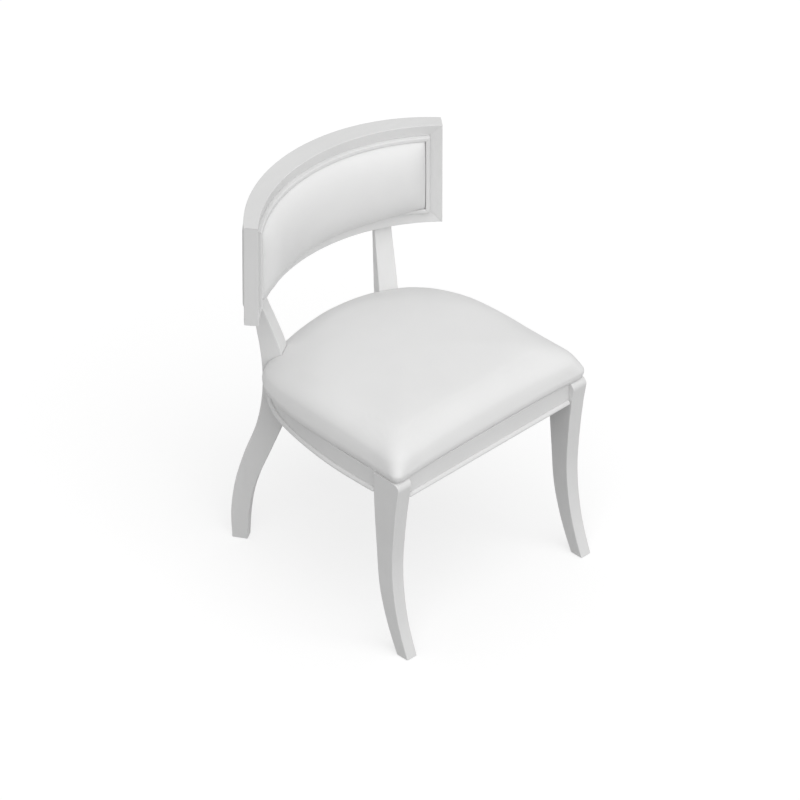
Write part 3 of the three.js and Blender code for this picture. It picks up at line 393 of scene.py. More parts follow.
def run_of(line):
    """The length of a line of points."""
    return sum((b - a).length for a, b in zip(line, line[1:]))


def stations(line, distances):
    """Points at distances along a plan line, each with the way out to its right."""
    gone = [run_of(line[:i + 1]) for i in range(len(line))]
    ways = [line[min(i + 1, len(line) - 1)] - line[max(i - 1, 0)] for i in range(len(line))]
    for distance in distances:
        i = next((k for k in range(1, len(line)) if gone[k] >= distance), len(line) - 1)
        share = (distance - gone[i - 1]) / (gone[i] - gone[i - 1])
        way = ways[i - 1].normalized().lerp(ways[i].normalized(), share).normalized()
        yield line[i - 1].lerp(line[i], share), Vector((way.y, -way.x))


def rail_loops(line, steps):
    """The outlines of a rail whose outer face follows a plan line."""
    section = stick(rail_thickness, rail_top - rail_bottom, rail_edge_radius)
    for point, out in stations(line, [run_of(line) * k / steps for k in range(steps + 1)]):
        yield [Vector((*(point + out * (corner.x - rail_thickness / 2)), rail_middle + corner.y))
               for corner in section]


def trimmed(piece, point, way):
    """Saws a piece off flat, keeping what lies on the side the way points to."""
    pick(piece)
    bpy.ops.object.mode_set(mode="EDIT")
    bpy.ops.mesh.select_all(action="SELECT")
    bpy.ops.mesh.bisect(plane_co=point, plane_no=way, use_fill=True, clear_inner=True)
    bpy.ops.object.mode_set(mode="OBJECT")


def leg_face(side, outward):
    """A point a gap off a rear leg's face, and the way out from it."""
    half = rear_leg_width(rail_middle) / 2 + fit_gap
    point = rear_leg_point(rear_joint_reach, outward * half, rail_middle)
    lean = -outward * rear_leg_face_lean
    way = outward * Vector((math.cos(rear_leg_turn), -math.sin(rear_leg_turn), lean))
    return Vector((side * point.x, *point.yz)), Vector((side * way.x, *way.yz))


side_line = [Vector((side_rail_reach - x * side_rail_bow, y * side_rail_run - side_rail_start))
             for x, y in through(side_rail_bow_shares, steps=16)]
side_rail = lofted("side_rail_bowed_right", list(rail_loops(side_line, steps=90)))
trimmed(side_rail, *leg_face(1, 1))
softened(side_rail)
painted(mirrored(side_rail, "side_rail_bowed_left"), "side_rail_left", lengthwise_lacquer)
painted(side_rail, "side_rail_right", lengthwise_lacquer)

rear_line = [Vector((x, rear_rail_reach - rear_rail_radius + math.sqrt(rear_rail_radius ** 2 - x * x)))
             for x in (rear_rail_half * (1 - k / 20) for k in range(41))]
rear_rail = lofted("rear_rail_bent", list(rail_loops(rear_line, steps=40)))
for side in (1, -1):
    trimmed(rear_rail, *leg_face(side, -1))
softened(rear_rail)
painted(rear_rail, "rear_rail", crosswise_lacquer)


def front_rail_loops():
    """The front rail's two ends, a gap off the legs' leaning faces."""
    for side in (-1, 1):
        loop = []
        for corner in stick(rail_thickness, rail_top - rail_bottom, rail_edge_radius):
            height = rail_middle + corner.y
            end = front_leg_centre - front_leg_section(height)[2] / 2 - fit_gap
            loop.append(Vector((side * end, corner.x + rail_thickness / 2 - front_rail_reach, height)))
        yield loop


front_rail = lofted("front_rail_straight", list(front_rail_loops()))
softened(front_rail)
painted(front_rail, "front_rail", crosswise_lacquer)


# Rail beads: rounded beech mouldings, fullest low down, glued along the lower edge of the front rail and of
# each side rail, with their ends rounded over beside the legs.

bead_height = 0.0085
bead_proud = 0.006
bead_lowness = 1.6
bead_facets = 16
bead_ends = (0, 0.0002, 0.0007, 0.0014, 0.0024, 0.004)
bead_end_fullness = 0.2
side_bead_start = 0.0001
front_bead_gap = 0.0009
stop_step = 0.0005


def bead_loops(line, first, last, steps):
    """The outlines of a bead on a rail's face, from one distance along its line to another."""
    distances = [first + end for end in bead_ends]
    distances += [first + (last - first) * k / steps for k in range(1, steps)]
    distances += [last - end for end in reversed(bead_ends)]
    for distance, (point, out) in zip(distances, stations(line, distances)):
        short = max(0, 1 - min(distance - first, last - distance) / bead_ends[-1])
        swell = max(bead_end_fullness, math.sqrt(1 - short ** 2))
        loop = []
        for k in range(bead_facets + 1):
            angle = math.pi * (k / bead_facets - 0.5)
            off = fit_gap + bead_proud * math.cos(angle) * swell
            height = rail_bottom + bead_height * ((1 + math.sin(angle) * swell) / 2) ** bead_lowness
            loop.append(Vector((*(point + out * off), height)))
        yield loop


def off_leg_plane(point):
    """How far outwards of the right rear leg's plane a point lies."""
    return point.x * math.cos(rear_leg_turn) - point.y * math.sin(rear_leg_turn) - rear_leg_plane


def clear_of_leg(point):
    return off_leg_plane(point) - rear_leg_width(rail_bottom) / 2 > fit_gap


side_run = run_of(side_line)
stops = [side_run - stop_step * k for k in range(400)]
bead_stop = next(stop for stop, (point, out) in zip(stops, stations(side_line, stops))
                 if clear_of_leg(point) and clear_of_leg(point + out * (bead_proud + fit_gap)))
side_bead = lofted("side_bead_rounded_right",
                   list(bead_loops(side_line, side_bead_start, bead_stop, steps=90)))
softened(side_bead)
painted(mirrored(side_bead, "side_bead_rounded_left"), "side_bead_left", lengthwise_lacquer)
painted(side_bead, "side_bead_right", lengthwise_lacquer)

bead_reach = front_leg_centre - front_leg_section(rail_bottom + bead_height)[2] / 2 - front_bead_gap
front_line = [Vector((-bead_reach, -front_rail_reach)), Vector((bead_reach, -front_rail_reach))]
front_bead = lofted("front_bead_rounded", list(bead_loops(front_line, 0, 2 * bead_reach, steps=12)))
softened(front_bead)
painted(front_bead, "front_bead", crosswise_lacquer)


# Bare beech: corner blocks, the splines in the back's mitres and the dowels in its posts. Planed and sawn
# faces are left unfinished, so the pores and the flecks of the wood show.

bare_beech, place = finish("bare_beech", IOR=1.5)
rings = place.stretched((0.25, 1, 1)).noise(45, 5, 0.62)
pores = place.stretched((0.05, 1, 1)).noise(900, 2)
coat(bare_beech,
     Base_Color=rings.between(0.32, 0.68).tint((0.5, 0.32, 0.18, 1), (0.66, 0.47, 0.29, 1)),
     Roughness=0.62 + pores * 0.2,
     Normal=pores.bump(0.0001))


def paint(names, material):
    """Gives the frame's own pieces of these names their material."""
    for name in names:
        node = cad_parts[name]
        node.data.materials.clear()
        node.data.materials.append(material)


paint([f"corner_block_{end}_{side}" for end in ("front", "rear") for side in ("left", "right")], bare_beech)
paint([f"mitre_spline_{end}_{side}" for end in ("top", "bottom") for side in ("left", "right")], bare_beech)
paint([f"post_dowel_{side}_{part}" for side in ("left", "right") for part in ("inner", "outer")], bare_beech)


# Plywood: the seat board, screwed down inside the rails, and the back board, pressed to the curve of the back
# and set in its frame. Both are of bare birch, hidden by the foam and the covers.

birch_ply, place = finish("birch_ply", IOR=1.5)
figure = place.stretched((0.1, 1, 1)).noise(60, 4)
coat(birch_ply,
     Base_Color=figure.between(0.3, 0.7).tint((0.58, 0.4, 0.22, 1), (0.7, 0.52, 0.33, 1)),
     Roughness=0.65 + figure * 0.15,
     Normal=figure.bump(0.0001))
paint(["seat_board", "back_board"], birch_ply)


# Screws: turned steel with pan heads, zinc plated. Two hold each corner block to its rails and one draws the
# seat board down from below.

zinc, place = finish("zinc", Metallic=1.0)
spangle = place.noise(700, 3)
coat(zinc,
     Base_Color=spangle.between(0.3, 0.7).tint((0.6, 0.61, 0.63, 1), (0.72, 0.73, 0.75, 1)),
     Roughness=0.28 + spangle * 0.18,
     Normal=spangle.bump(0.00003))
paint([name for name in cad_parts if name.startswith(("block_screw", "seat_screw"))], zinc)


# Floor glides: moulded buttons of grey nylon, one under each foot, which keep the wood off the floor. Each is
# driven up into the end grain.

nylon, place = finish("nylon", IOR=1.53)
moulded = place.noise(1500, 2)
coat(nylon,
     Base_Color=place.noise(120, 2).between(0.3, 0.7).tint((0.26, 0.26, 0.255, 1), (0.3, 0.3, 0.295, 1)),
     Roughness=0.5 + moulded * 0.15,
     Normal=moulded.bump(0.00005))
paint([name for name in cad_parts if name.startswith("floor_glide")], nylon)


# Dust cover: black non-woven cambric stretched under the rails and stapled to them, notched round the legs.
# Its middle hangs a few millimetres.

cambric, place = finish("cambric", IOR=1.5)
fibre = place.noise(650, 5, 0.7)
dimple = place.node("TexVoronoi", {"feature": "DISTANCE_TO_EDGE"}, {"Vector": place, "Scale": 700})
coat(cambric,
     Base_Color=fibre.between(0.35, 0.7).tint((0.009, 0.009, 0.0095, 1), (0.02, 0.02, 0.021, 1)),
     Roughness=0.85 + fibre * 0.12,
     Normal=dimple.bump(0.0001, under=fibre.bump(0.0001)))

cloth_inset = 0.007
cloth_thickness = 0.0005
cloth_sag = 0.006
sag_half_width = 0.222
sag_half_depth = 0.2
sag_middle = -0.02
cloth_square = 0.02
middle_cut = (0.0031, 0.0017)
cuts_each_way = 11


def apply(piece, kind, **settings):
    """Adds a modifier with its settings and applies it."""
    pick(piece)
    modifier = piece.modifiers.new(kind.title(), kind)
    for name, value in settings.items():
        setattr(modifier, name, value)
    bpy.ops.object.modifier_apply(modifier=modifier.name)


def cloth_outline():
    """The right half of the cloth's edge, from the middle of the front to the middle of the rear."""
    leg_half = front_leg_section(rail_bottom)[2] / 2 + fit_gap
    front = cloth_inset - front_rail_reach
    inside = front_leg_centre - leg_half
    half = [(0, front), (inside, front), (inside, -side_rail_start)]
    post_half = rear_leg_width(rail_bottom) / 2 + fit_gap
    for point, out in stations(side_line, [side_run * k / 60 for k in range(61)]):
        point = point - out * cloth_inset
        if off_leg_plane(point) > post_half:
            half.append(tuple(point))
    for outward in (1, -1):
        half.append(tuple(rear_leg_point(rear_leg_front_least - fit_gap, outward * post_half, 0).xy))
    for point, out in stations(rear_line, [run_of(rear_line) * k / 40 for k in range(20)]):
        point = point - out * cloth_inset
        if off_leg_plane(point) < -post_half:
            half.append(tuple(point))
    return half + [(0, rear_rail_reach - cloth_inset)]


right_half = cloth_outline()
cloth_edge = right_half + [(-x, y) for x, y in right_half[-2:0:-1]]
deselect()
bpy.ops.mesh.primitive_circle_add(vertices=len(cloth_edge), radius=1, fill_type="NGON")
dust_cloth = active()
dust_cloth.name = "dust_cloth"
for vertex, (x, y) in zip(dust_cloth.data.vertices, cloth_edge):
    vertex.co = Vector((x, y, rail_bottom - fit_gap))
bpy.ops.object.mode_set(mode="EDIT")
for k in range(-cuts_each_way, cuts_each_way + 1):
    for way in ((1, 0, 0), (0, 1, 0)):
        bpy.ops.mesh.select_all(action="SELECT")
        cut = (cloth_square * k + middle_cut[0], cloth_square * k + middle_cut[1], 0)
        bpy.ops.mesh.bisect(plane_co=cut, plane_no=way)
bpy.ops.mesh.select_all(action="SELECT")
bpy.ops.mesh.normals_make_consistent(inside=False)
bpy.ops.object.mode_set(mode="OBJECT")
for vertex in dust_cloth.data.vertices:
    x, y = vertex.co.x / sag_half_width, (vertex.co.y - sag_middle) / sag_half_depth
    vertex.co.z -= cloth_sag * max(0, 1 - x * x) * max(0, 1 - y * y)
apply(dust_cloth, "SOLIDIFY", thickness=cloth_thickness, offset=0)
softened(dust_cloth)
for vertex in dust_cloth.data.vertices:
    vertex.co.z -= fit_gap
dust_cloth.data.materials.append(cambric)
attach(dust_cloth, "root")
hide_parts("dust_cover")


# Seat: a foam block on the board under one piece of white leather, crowned, its front corners a little flared
# and tight low down, its rear bowed like the rails and lower. It is notched round the two posts.

seat_half_width = 0.252
seat_front = 0.250
seat_rear = 0.216
seat_middle = Vector((0, -0.020))
seat_bottom = 0.3973
edge_height = 0.076
crown_height = 0.008
corner_radius = 0.016
corner_flare = 0.006
bow_share = 0.6
outline_spacing = 0.003

# Shares of the half width and of the rear's reach, along the bowed rear
rear_bow_shares = [(1, -0.31), (0.98, 0.115), (0.948, 0.375), (0.898, 0.59), (0.862, 0.675), (0.787, 0.79),
                   (0.688, 0.865), (0.54, 0.93), (0.3, 0.98), (0, 1)]
# Shares of the edge's height: each level, and how far the edge is inset there
edge_profile_shares = [(0, 0.1), (0.1, 0.04), (0.2, 0.008), (0.3, 0), (0.5, 0.025), (0.68, 0.085),
                       (0.84, 0.225), (0.94, 0.42), (1, 0.7)]
# Shares of the way out from the middle of the crown to the edge
crown_shares = (0.96, 0.91, 0.85, 0.78, 0.7, 0.6, 0.5, 0.4, 0.3, 0.2, 0.1, 0.03)


def bowed_edge(start, pull, end, steps=24):
    """Points from a start almost to an end along a bow towards the pull."""
    return [tuple((1 - t) ** 2 * p + 2 * t * (1 - t) * q + t * t * r for p, q, r in zip(start, pull, end))
            for t in (k / steps for k in range(steps))]


def evened(points, spacing):
    """The same closed line with its points evenly spaced."""
    loop = [Vector(p) for p in points] + [Vector(points[0])]
    lengths = [(b - a).length for a, b in zip(loop, loop[1:])]
    count = round(sum(lengths) / spacing)
    step = sum(lengths) / count
    even, gone, i = [], 0.0, 0
    for k in range(count):
        while gone + lengths[i] < k * step - 1e-9:
            gone += lengths[i]
            i += 1
        even.append(loop[i].lerp(loop[i + 1], (k * step - gone) / lengths[i]))
    return even


corner = Vector((seat_half_width + corner_flare - corner_radius, corner_radius - corner_flare - seat_front))
right_side = bowed_edge((0, -seat_front), (bow_share * corner.x, -seat_front),
                        (corner.x, corner.y - corner_radius))
right_side += [(corner.x + corner_radius * math.sin(angle), corner.y - corner_radius * math.cos(angle))
               for angle in (math.radians(5 * k) for k in range(18))]
right_side += bowed_edge((corner.x + corner_radius, corner.y), (seat_half_width, bow_share * corner.y),
                         (seat_half_width, rear_bow_shares[0][1] * seat_rear))
right_side += through([(x * seat_half_width, y * seat_rear) for x, y in rear_bow_shares], steps=10)
outline = evened(right_side + [(-x, y) for x, y in right_side[-2:0:-1]], outline_spacing)


def squareness(i, reach=5, least=0.6):
    """How squarely the outline faces the seat's middle at a point."""
    along = outline[(i + reach) % len(outline)] - outline[i - reach]
    inward = (seat_middle - outline[i]).normalized()
    return max(least, inward.dot(Vector((-along.y, along.x)).normalized()))


def around(values, i, reach):
    """The values at a place on a closed line and at so many places on either side."""
    return [values[(i + k) % len(values)] for k in range(-reach, reach + 1)]


even_reach = 5
facing = [squareness(i) for i in range(len(outline))]
facing = [min(around(facing, i, reach=12)) for i in range(len(facing))]
facing = [sum(around(facing, i, even_reach)) / (2 * even_reach + 1) for i in range(len(facing))]

drop_start = 0.4114
rear_drop = 0.007
rear_corner_drop = 0.062
front_corner_drop = 0.010


def seat_drop(x, y, height):
    """How much lower the seat lies towards the rear and at its corners."""
    rearward = max(0, (y - seat_middle.y) / (seat_rear - seat_middle.y))
    forward = max(0, (seat_middle.y - y) / (seat_front + seat_middle.y))
    sideways = (x / seat_half_width) ** 2
    lift = max(0, height - drop_start) / (seat_bottom + edge_height - drop_start)
    return lift * ((rear_drop + rear_corner_drop * sideways) * rearward ** 2
                   + front_corner_drop * sideways * forward ** 2)


def rounder(points, reach):
    """A closed line whose corners are rounded by averaging each point with so many on either side."""
    line = numpy.array(points)
    sums = numpy.cumsum(numpy.vstack([line[-reach - 1:], line, line[:reach]]), axis=0)
    return [Vector(point) for point in (sums[2 * reach + 1:] - sums[:-2 * reach - 1]) / (2 * reach + 1)]


def eased_in(share):
    """A share limited to 0 to 1, with a soft start and end."""
    share = min(1, max(0, share))
    return share * share * (3 - 2 * share)


swelling_room = 0.0012
turned_under = (0.03, 0.002)
rounding_start = 0.016
rounding_rise = 0.036
front_part_end = -0.09
front_part_run = 0.06


def seat_rings():
    """Loops from the bottom edge up over the crown, rounder at the corners from some way up."""
    rings = [(swelling_room + inset * edge_height, 1, seat_bottom + level * (edge_height - swelling_room))
             for level, inset in through(edge_profile_shares, steps=5)]
    underside = [(rings[0][0] + inset, 1, seat_bottom) for inset in turned_under]
    edge_inset, top = rings[-1][0], rings[-1][2]
    crown = [(edge_inset, share, top + crown_height * (1 - share ** 2)) for share in crown_shares]
    for inset, share, height in underside + rings + crown:
        flats = [(point + (seat_middle - point).normalized() * inset / square - seat_middle) * share
                 + seat_middle for point, square in zip(outline, facing)]
        raised = eased_in((height - seat_bottom - rounding_start) / rounding_rise)
        for _ in range(2):
            flats = [point.lerp(softer, raised) for point, softer in zip(flats, rounder(flats, reach=4))]
        for _ in range(2):
            flats = [point.lerp(softer, raised * eased_in((front_part_end - point.y) / front_part_run))
                     for point, softer in zip(flats, rounder(flats, reach=6))]
        yield [Vector((x, y, height - seat_drop(x, y, height))) for x, y in flats]


swelling_pressure = 4
swelling_steps = 20
evening_rounds = 30
near_points = 6
least_distance = 0.001


def stuffed(piece, held, voxel, cap):
    """Swells a form like leather over foam, by no more than the cap. A copy in small squares swells as cloth,
    held where held(point) is true, and the piece follows that swelling with its creases evened out."""
    pick(piece)
    bpy.ops.object.duplicate()
    skin = active()
    apply(skin, "REMESH", mode="VOXEL", voxel_size=voxel)
    apply(skin, "SMOOTH", factor=0.5, iterations=4)
    started = numpy.array([vertex.co for vertex in skin.data.vertices])
    fixed = numpy.array([held(vertex.co) for vertex in skin.data.vertices])
    group = skin.vertex_groups.new(name="held")
    group.add([int(i) for i in numpy.nonzero(fixed)[0]], 1, "REPLACE")
    cloth = skin.modifiers.new("Cloth", "CLOTH")
    cloth.settings.vertex_group_mass = "held"
    cloth.settings.use_pressure = True
    cloth.settings.uniform_pressure_force = swelling_pressure
    cloth.settings.effector_weights.gravity = 0
    cloth.point_cache.frame_start = 1
    cloth.point_cache.frame_end = swelling_steps
    for step in range(1, swelling_steps + 1):
        bpy.context.scene.frame_set(step)
    pick(skin)
    bpy.ops.object.modifier_apply(modifier="Cloth")
    bpy.context.scene.frame_set(1)
    moves = numpy.array([vertex.co for vertex in skin.data.vertices]) - started
    lengths = numpy.linalg.norm(moves, axis=1)
    moves *= numpy.minimum(1, cap / numpy.maximum(lengths, 1e-9))[:, None]
    edges = numpy.array([edge.vertices[:] for edge in skin.data.edges])
    neighbours = numpy.bincount(edges.ravel(), minlength=len(moves))[:, None]
    for _ in range(evening_rounds):
        evened_out = numpy.zeros_like(moves)
        numpy.add.at(evened_out, edges[:, 0], moves[edges[:, 1]])
        numpy.add.at(evened_out, edges[:, 1], moves[edges[:, 0]])
        moves = moves * 0.5 + evened_out / numpy.maximum(neighbours, 1) * 0.5
        moves[fixed] = 0
    tree = KDTree(len(started))
    for i, point in enumerate(started):
        tree.insert(point, i)
    tree.balance()
    for vertex in piece.data.vertices:
        near = tree.find_n(vertex.co, near_points)
        weights = [1 / (distance + least_distance) for _, _, distance in near]
        move = sum(moves[i] * weight for (_, i, _), weight in zip(near, weights)) / sum(weights)
        vertex.co = vertex.co + Vector(move)
    bpy.data.objects.remove(skin)


tacked_height = 0.010
post_clearance = 0.0008
notch_start = 0.38
notch_step = 0.005
notch_rings = 29


def at_seat_edge(point):
    """Whether a point of the seat lies where the leather is tacked."""
    return point.z < seat_bottom + tacked_height


def notch(piece):
    """Cuts a seat away round both posts, with a little clearance."""
    heights = [notch_start + notch_step * k for k in range(notch_rings)]
    right_post = lofted("right_post", list(rear_leg_loops(heights, post_clearance)))
    for post in (right_post, mirrored(right_post, "left_post")):
        apply(piece, "BOOLEAN", object=post, operation="DIFFERENCE", solver="MANIFOLD")
        bpy.data.objects.remove(post)


seat_cushion = lofted("seat_cushion", list(seat_rings()))
stuffed(seat_cushion, at_seat_edge, voxel=0.006, cap=0.005)
notch(seat_cushion)
softened(seat_cushion, degrees=50)

leather_white = (0.805, 0.805, 0.803, 1)
leather_shade = (0.795, 0.795, 0.793, 1)
leather, place = finish("leather", IOR=1.45)
pebble = place.node("TexVoronoi", {"feature": "DISTANCE_TO_EDGE"}, {"Vector": place, "Scale": 620})
creases = place.noise(240, 4, 0.6)
mottle = place.noise(14, 3)
coat(leather,
     Base_Color=mottle.between(0.3, 0.7).tint(leather_shade, leather_white),
     Roughness=0.5 + creases.between(0.3, 0.7) * 0.1,
     Normal=pebble.bump(0.00007, under=creases.bump(0.0001)))


def upholstered(piece, fill, *nodes):
    """Gives a padded piece its leather and its place in the frame."""
    piece.data.materials.clear()
    piece.data.materials.append(leather)
    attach(piece, "root")
    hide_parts(*nodes)


upholstered(seat_cushion, 0.9, "seat_cover", "seat_foam")


# Back frame: two curved beech rails and two end stiles, mitred at the corners with loose splines, thicker in
# the middle than at the ends. Its inside slopes a little towards the pad and its edges are softened.

# Arcs in plan: half the chord, the rise, and how far back the middle lies
front_arc = (0.2450, 0.0981, 0.2241)
rear_arc = (0.26195, 0.1187, 0.2666)

back_bottom = 0.5742
back_height = 0.2227
frame_width = 0.024
frame_bevel = 0.003
frame_edge_radii = (0.0015, 0.001, 0.0015, 0.0006)
rail_steps = 30


def radius_of(arc):
    """The radius of an arc given by its half chord, rise and middle."""
    half_chord, rise, middle = arc
    return (half_chord ** 2 + rise ** 2) / (2 * rise)


def on_arc(arc, share):
    """A point in plan on an arc, by the share of the way from its middle to its right end."""
    half_chord, rise, middle = arc
    radius = radius_of(arc)
    angle = share * math.asin(half_chord / radius)
    return Vector((radius * math.sin(angle), middle - radius + radius * math.cos(angle), 0))


back_half_length = radius_of(front_arc) * math.asin(front_arc[0] / radius_of(front_arc))


def back_depth(along):
    """How thick the back is at a length from its middle."""
    share = along / back_half_length
    return (on_arc(rear_arc, share) - on_arc(front_arc, share)).length


def curved(along, depth, height):
    """A point of the back by its length from the middle, its depth behind the face and its height."""
    share = along / back_half_length
    front = on_arc(front_arc, share)
    through_back = (on_arc(rear_arc, share) - front).normalized()
    return front + through_back * depth + Vector((0, 0, back_bottom + height))


end_depth = back_depth(back_half_length)


def member_point(along, depth, height):
    """A point of a frame member, whose rear follows the back's thicker middle."""
    return curved(along, depth + (back_depth(along) - end_depth if depth > end_depth / 2 else 0), height)


def rail_rings(section, top):
    """The outlines of a top or bottom member, whose mitred ends lie half a gap off the corners."""
    for k in range(-rail_steps, rail_steps + 1):
        yield [member_point(k / rail_steps * (back_half_length - inward - fit_gap / 2), depth,
                            back_height - inward if top else inward) for depth, inward in section]


def stile_rings(section):
    """The outlines of the right stile, from its lower mitre to its upper one."""
    for share in (0, 0.03, 0.97, 1):
        loop = []
        for depth, inward in section:
            low, high = inward + fit_gap / 2, back_height - inward - fit_gap / 2
            loop.append(member_point(back_half_length - inward, depth, low * (1 - share) + high * share))
        yield loop


def mitred(kind, section):
    """Four members of one section round the back, each with its side's name and its lacquer."""
    for end in ("top", "bottom"):
        member = lofted(f"mitred_{kind}_{end}", list(rail_rings(section, end == "top")))
        softened(member)
        yield end, member, crosswise_lacquer
    right = lofted(f"mitred_{kind}_right", list(stile_rings(section)))
    softened(right)
    yield "left", mirrored(right, f"mitred_{kind}_left"), upright_lacquer
    yield "right", right, upright_lacquer


frame_section = eased([(0, 0), (end_depth, 0), (end_depth, frame_width), (frame_bevel, frame_width)],
                      frame_edge_radii)
frame_nodes = {"top": "back_top_rail", "bottom": "back_bottom_rail", "left": "back_stile_left",
               "right": "back_stile_right"}
for edge, member, material in mitred("frame", frame_section):
    painted(member, frame_nodes[edge], material)


# Back beads: beech strips with rounded shoulders, mitred and glued round the inside of the frame. They stand
# proud of its face and hold the pad's edges down.

bead_width = 0.0085
bead_depth = 0.012
bead_stand = 0.006
bead_edge_radii = (0.0004, 0.0014, 0.003, 0.0004)
bead_inner = frame_width + fit_gap + bead_width
bead_outer = bead_inner - bead_width
bead_section = eased([(bead_depth, bead_inner), (-bead_stand, bead_inner), (-bead_stand, bead_outer),
                      (bead_depth, bead_outer)], bead_edge_radii)
for edge, member, material in mitred("bead", bead_section):
    painted(member, f"back_bead_{edge}", material)


# Back pad: foam on the curved back board under white leather, tucked in behind the beads. It stands well
# proud of the frame, rolls over tightly along its edges and hangs a little over the bottom bead.

def rolled(distance, roll):
    """A quarter round from 0 at an edge to 1 as far in as the roll."""
    return math.sqrt(max(0, 1 - max(0, 1 - distance / roll) ** 2))


def back_pad(name, inset, cuts, radius, shape):
    """A block of cells bent over the back's curve, finer near its edges, with its corners rounded."""
    deselect()
    bpy.ops.mesh.primitive_cube_add(size=2)
    piece = active()
    piece.name = name
    bpy.ops.object.mode_set(mode="EDIT")
    bpy.ops.mesh.subdivide(number_cuts=cuts)
    bpy.ops.object.mode_set(mode="OBJECT")
    half_length, half_height = back_half_length - inset, back_height / 2 - inset
    for vertex in piece.data.vertices:
        along = math.sin(math.pi / 2 * vertex.co.x) * half_length
        up = math.sin(math.pi / 2 * vertex.co.z) * half_height
        past = Vector((max(0, abs(along) + radius - half_length), max(0, abs(up) + radius - half_height)))
        if past.length > radius:
            along -= math.copysign(past.x * (1 - radius / past.length), along)
            up -= math.copysign(past.y * (1 - radius / past.length), up)
        depth, up = shape((1 - vertex.co.y) / 2, along, up, half_length - abs(along), half_height - abs(up))
        vertex.co = curved(along, depth, back_height / 2 + up)
    bpy.ops.object.mode_set(mode="EDIT")
    bpy.ops.mesh.select_all(action="SELECT")
    bpy.ops.mesh.normals_make_consistent(inside=False)
    bpy.ops.object.mode_set(mode="OBJECT")
    return piece


pad_half_height = back_height / 2 - bead_inner
pad_rear = 0.0126
pad_edge_depth = 0.0005
pad_proud = 0.038
pad_end_roll = 0.062
pad_fullness = 2.3
overhang = 0.0125
overhang_start = 0.0065
overhang_rise = 0.006
overhang_fade = 0.022
overhang_end_run = 0.13
held_margin = 0.004


def pad_shape(forward, along, up, end, side):
    """The pad's depth and height: an even swelling whose lower roll hangs a little over the bead."""
    barrel = math.sqrt(1 - max(0, 1 - side / pad_half_height) ** pad_fullness)
    proud = pad_proud * rolled(end, pad_end_roll) * barrel
    if up < 0:
        up -= (overhang * eased_in((proud - overhang_start) / overhang_rise)
               * math.exp(-side / overhang_fade) * eased_in(end / overhang_end_run))
    return pad_rear + (pad_edge_depth - proud - pad_rear) * forward, up


def at_pad_edge(point):
    """Whether a point of the pad lies where the beads hold it."""
    centre = front_arc[2] - radius_of(front_arc)
    along = radius_of(front_arc) * math.atan2(point.x, point.y - centre)
    return (abs(along) > back_half_length - bead_inner - held_margin
            or abs(point.z - back_bottom - back_height / 2) > pad_half_height - held_margin)


back_cushion = back_pad("back_cushion", bead_inner, cuts=56, radius=0.006, shape=pad_shape)
stuffed(back_cushion, at_pad_edge, voxel=0.005, cap=0.002)
apply(back_cushion, "SUBSURF", levels=1, render_levels=1)
softened(back_cushion, degrees=60)
upholstered(back_cushion, 0.9, "back_cover", "back_foam")


# Outside back: a thinly padded leather panel that closes the rear of the frame, tacked on blind, its edges
# a frame's width in from the outside and standing a little proud.

panel_inset = frame_width + fit_gap
panel_half_length = back_half_length - panel_inset
panel_half_height = back_height / 2 - panel_inset
panel_proud = 0.0005
panel_padding = 0.002
panel_roll = 0.004
panel_crown = 0.00395
panel_sunk = 0.004


def panel_shape(forward, along, up, end, side):
    """The panel's depth and height: a thin pad with tight edges and a slight crown."""
    full = ((1 - ((panel_half_length - end) / panel_half_length) ** 2)
            * (1 - ((panel_half_height - side) / panel_half_height) ** 2))
    rear = back_depth(along)
    padding = panel_padding * rolled(end, panel_roll) * rolled(side, panel_roll)
    face = rear + panel_proud + padding + panel_crown * full
    return face + (rear - panel_sunk - face) * forward, up


outside_panel = back_pad("outside_panel", panel_inset, cuts=40, radius=0.002, shape=panel_shape)
apply(outside_panel, "SUBSURF", levels=1, render_levels=1)
softened(outside_panel, degrees=60)
upholstered(outside_panel, 1.0, "outside_back")


# Stage: a pale matt floor that glows a little where the camera sees it, under an even surround and one soft
# lamp above and in front of the chair. The camera stands far off, to the front left and above.

floor_size = 60
floor_grey = 0.42
floor_glow = 0.64
world_light = 0.55
world_shown = 0.45
lamp_strength = 1.6
lamp_spread = math.radians(75)
lamp_azimuth = math.radians(-20)
lamp_elevation = math.radians(47)

deselect()
bpy.ops.mesh.primitive_plane_add(size=floor_size)
floor = active()
floor.name = "floor"
floor_finish, _ = finish("floor_finish", Roughness=0.9)
floor_shader = floor_finish.node_tree.nodes["Principled BSDF"]
floor_shader.inputs["Base Color"].default_value = (floor_grey, floor_grey, floor_grey, 1)
floor_shader.inputs["Emission Color"].default_value = (1, 1, 1, 1)
floor_shader.inputs["Specular IOR Level"].default_value = 0


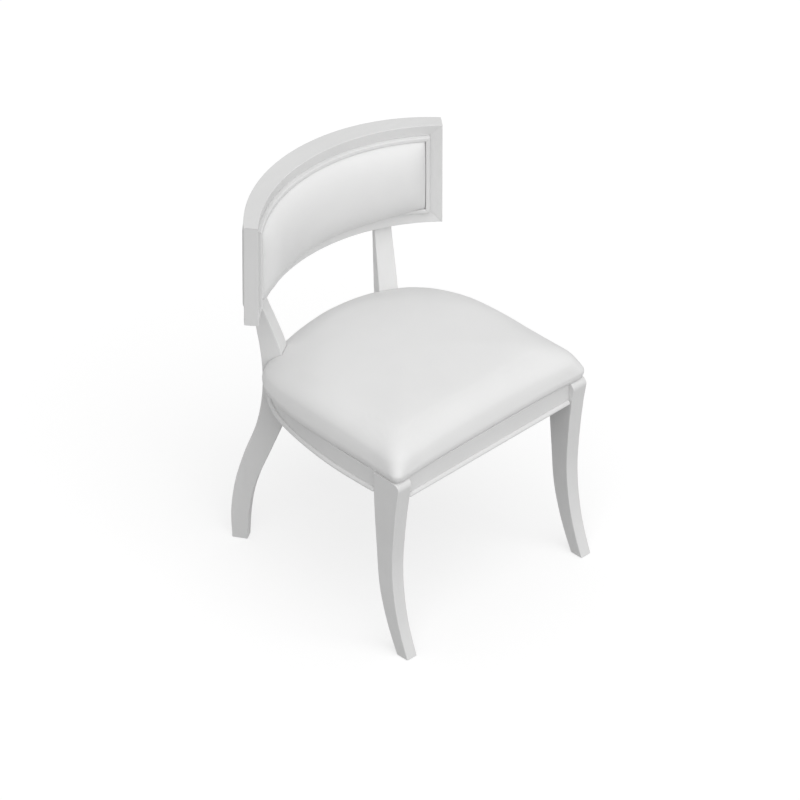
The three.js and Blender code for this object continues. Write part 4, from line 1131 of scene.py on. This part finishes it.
def shown(tree):
    """1 for rays that show the background: from the camera, a reflection or through glass."""
    rays = Wire(tree).node("LightPath").socket.node.outputs
    camera_ray, glossy_ray, glass_ray = (
        Wire(tree, rays[f"Is {kind} Ray"]) for kind in ("Camera", "Glossy", "Transmission"))
    return camera_ray.reckon("MAXIMUM", camera_ray, glossy_ray.reckon("MAXIMUM", glossy_ray, glass_ray))


floor_finish.node_tree.links.new((shown(floor_finish.node_tree) * floor_glow).socket,
                                 floor_shader.inputs["Emission Strength"])
floor.data.materials.append(floor_finish)

world = bpy.data.worlds.new("studio")
bpy.context.scene.world = world
world.use_nodes = True
background = world.node_tree.nodes["Background"]
background.inputs["Color"].default_value = (1, 1, 1, 1)
world_strength = world_light + shown(world.node_tree) * world_shown
world.node_tree.links.new(world_strength.socket, background.inputs["Strength"])


def way_to(azimuth, elevation):
    """The way from the chair to a place so far round from its front and so far up."""
    return Vector((math.sin(azimuth) * math.cos(elevation), -math.cos(azimuth) * math.cos(elevation),
                   math.sin(elevation)))


deselect()
bpy.ops.object.light_add(type="SUN", location=(0, 0, 4))
lamp = active()
lamp.name = "soft_lamp"
lamp.data.energy = lamp_strength
lamp.data.angle = lamp_spread
lamp.rotation_euler = way_to(lamp_azimuth, lamp_elevation).to_track_quat("Z", "Y").to_euler()

view_azimuth = math.radians(-44.930)
view_elevation = math.radians(35.342)
view_distance = 31.7616
aim_right = 0.00372
aim_up = 0.28135
focal_pixels = 16644.3
picture_pixels = 800
sensor_width = 36

backward = way_to(view_azimuth, view_elevation)
rightward = Vector((math.cos(view_azimuth), math.sin(view_azimuth), 0))
upward = rightward.cross(backward) * -1
deselect()
bpy.ops.object.camera_add(location=rightward * aim_right + upward * aim_up + backward * view_distance)
camera = active()
camera.name = "camera"
camera.rotation_euler = backward.to_track_quat("Z", "Y").to_euler()
camera.data.lens = focal_pixels / picture_pixels * sensor_width
camera.data.sensor_width = sensor_width
camera.data.clip_end = 100
bpy.context.scene.camera = camera
bpy.context.scene.view_settings.view_transform = "Standard"
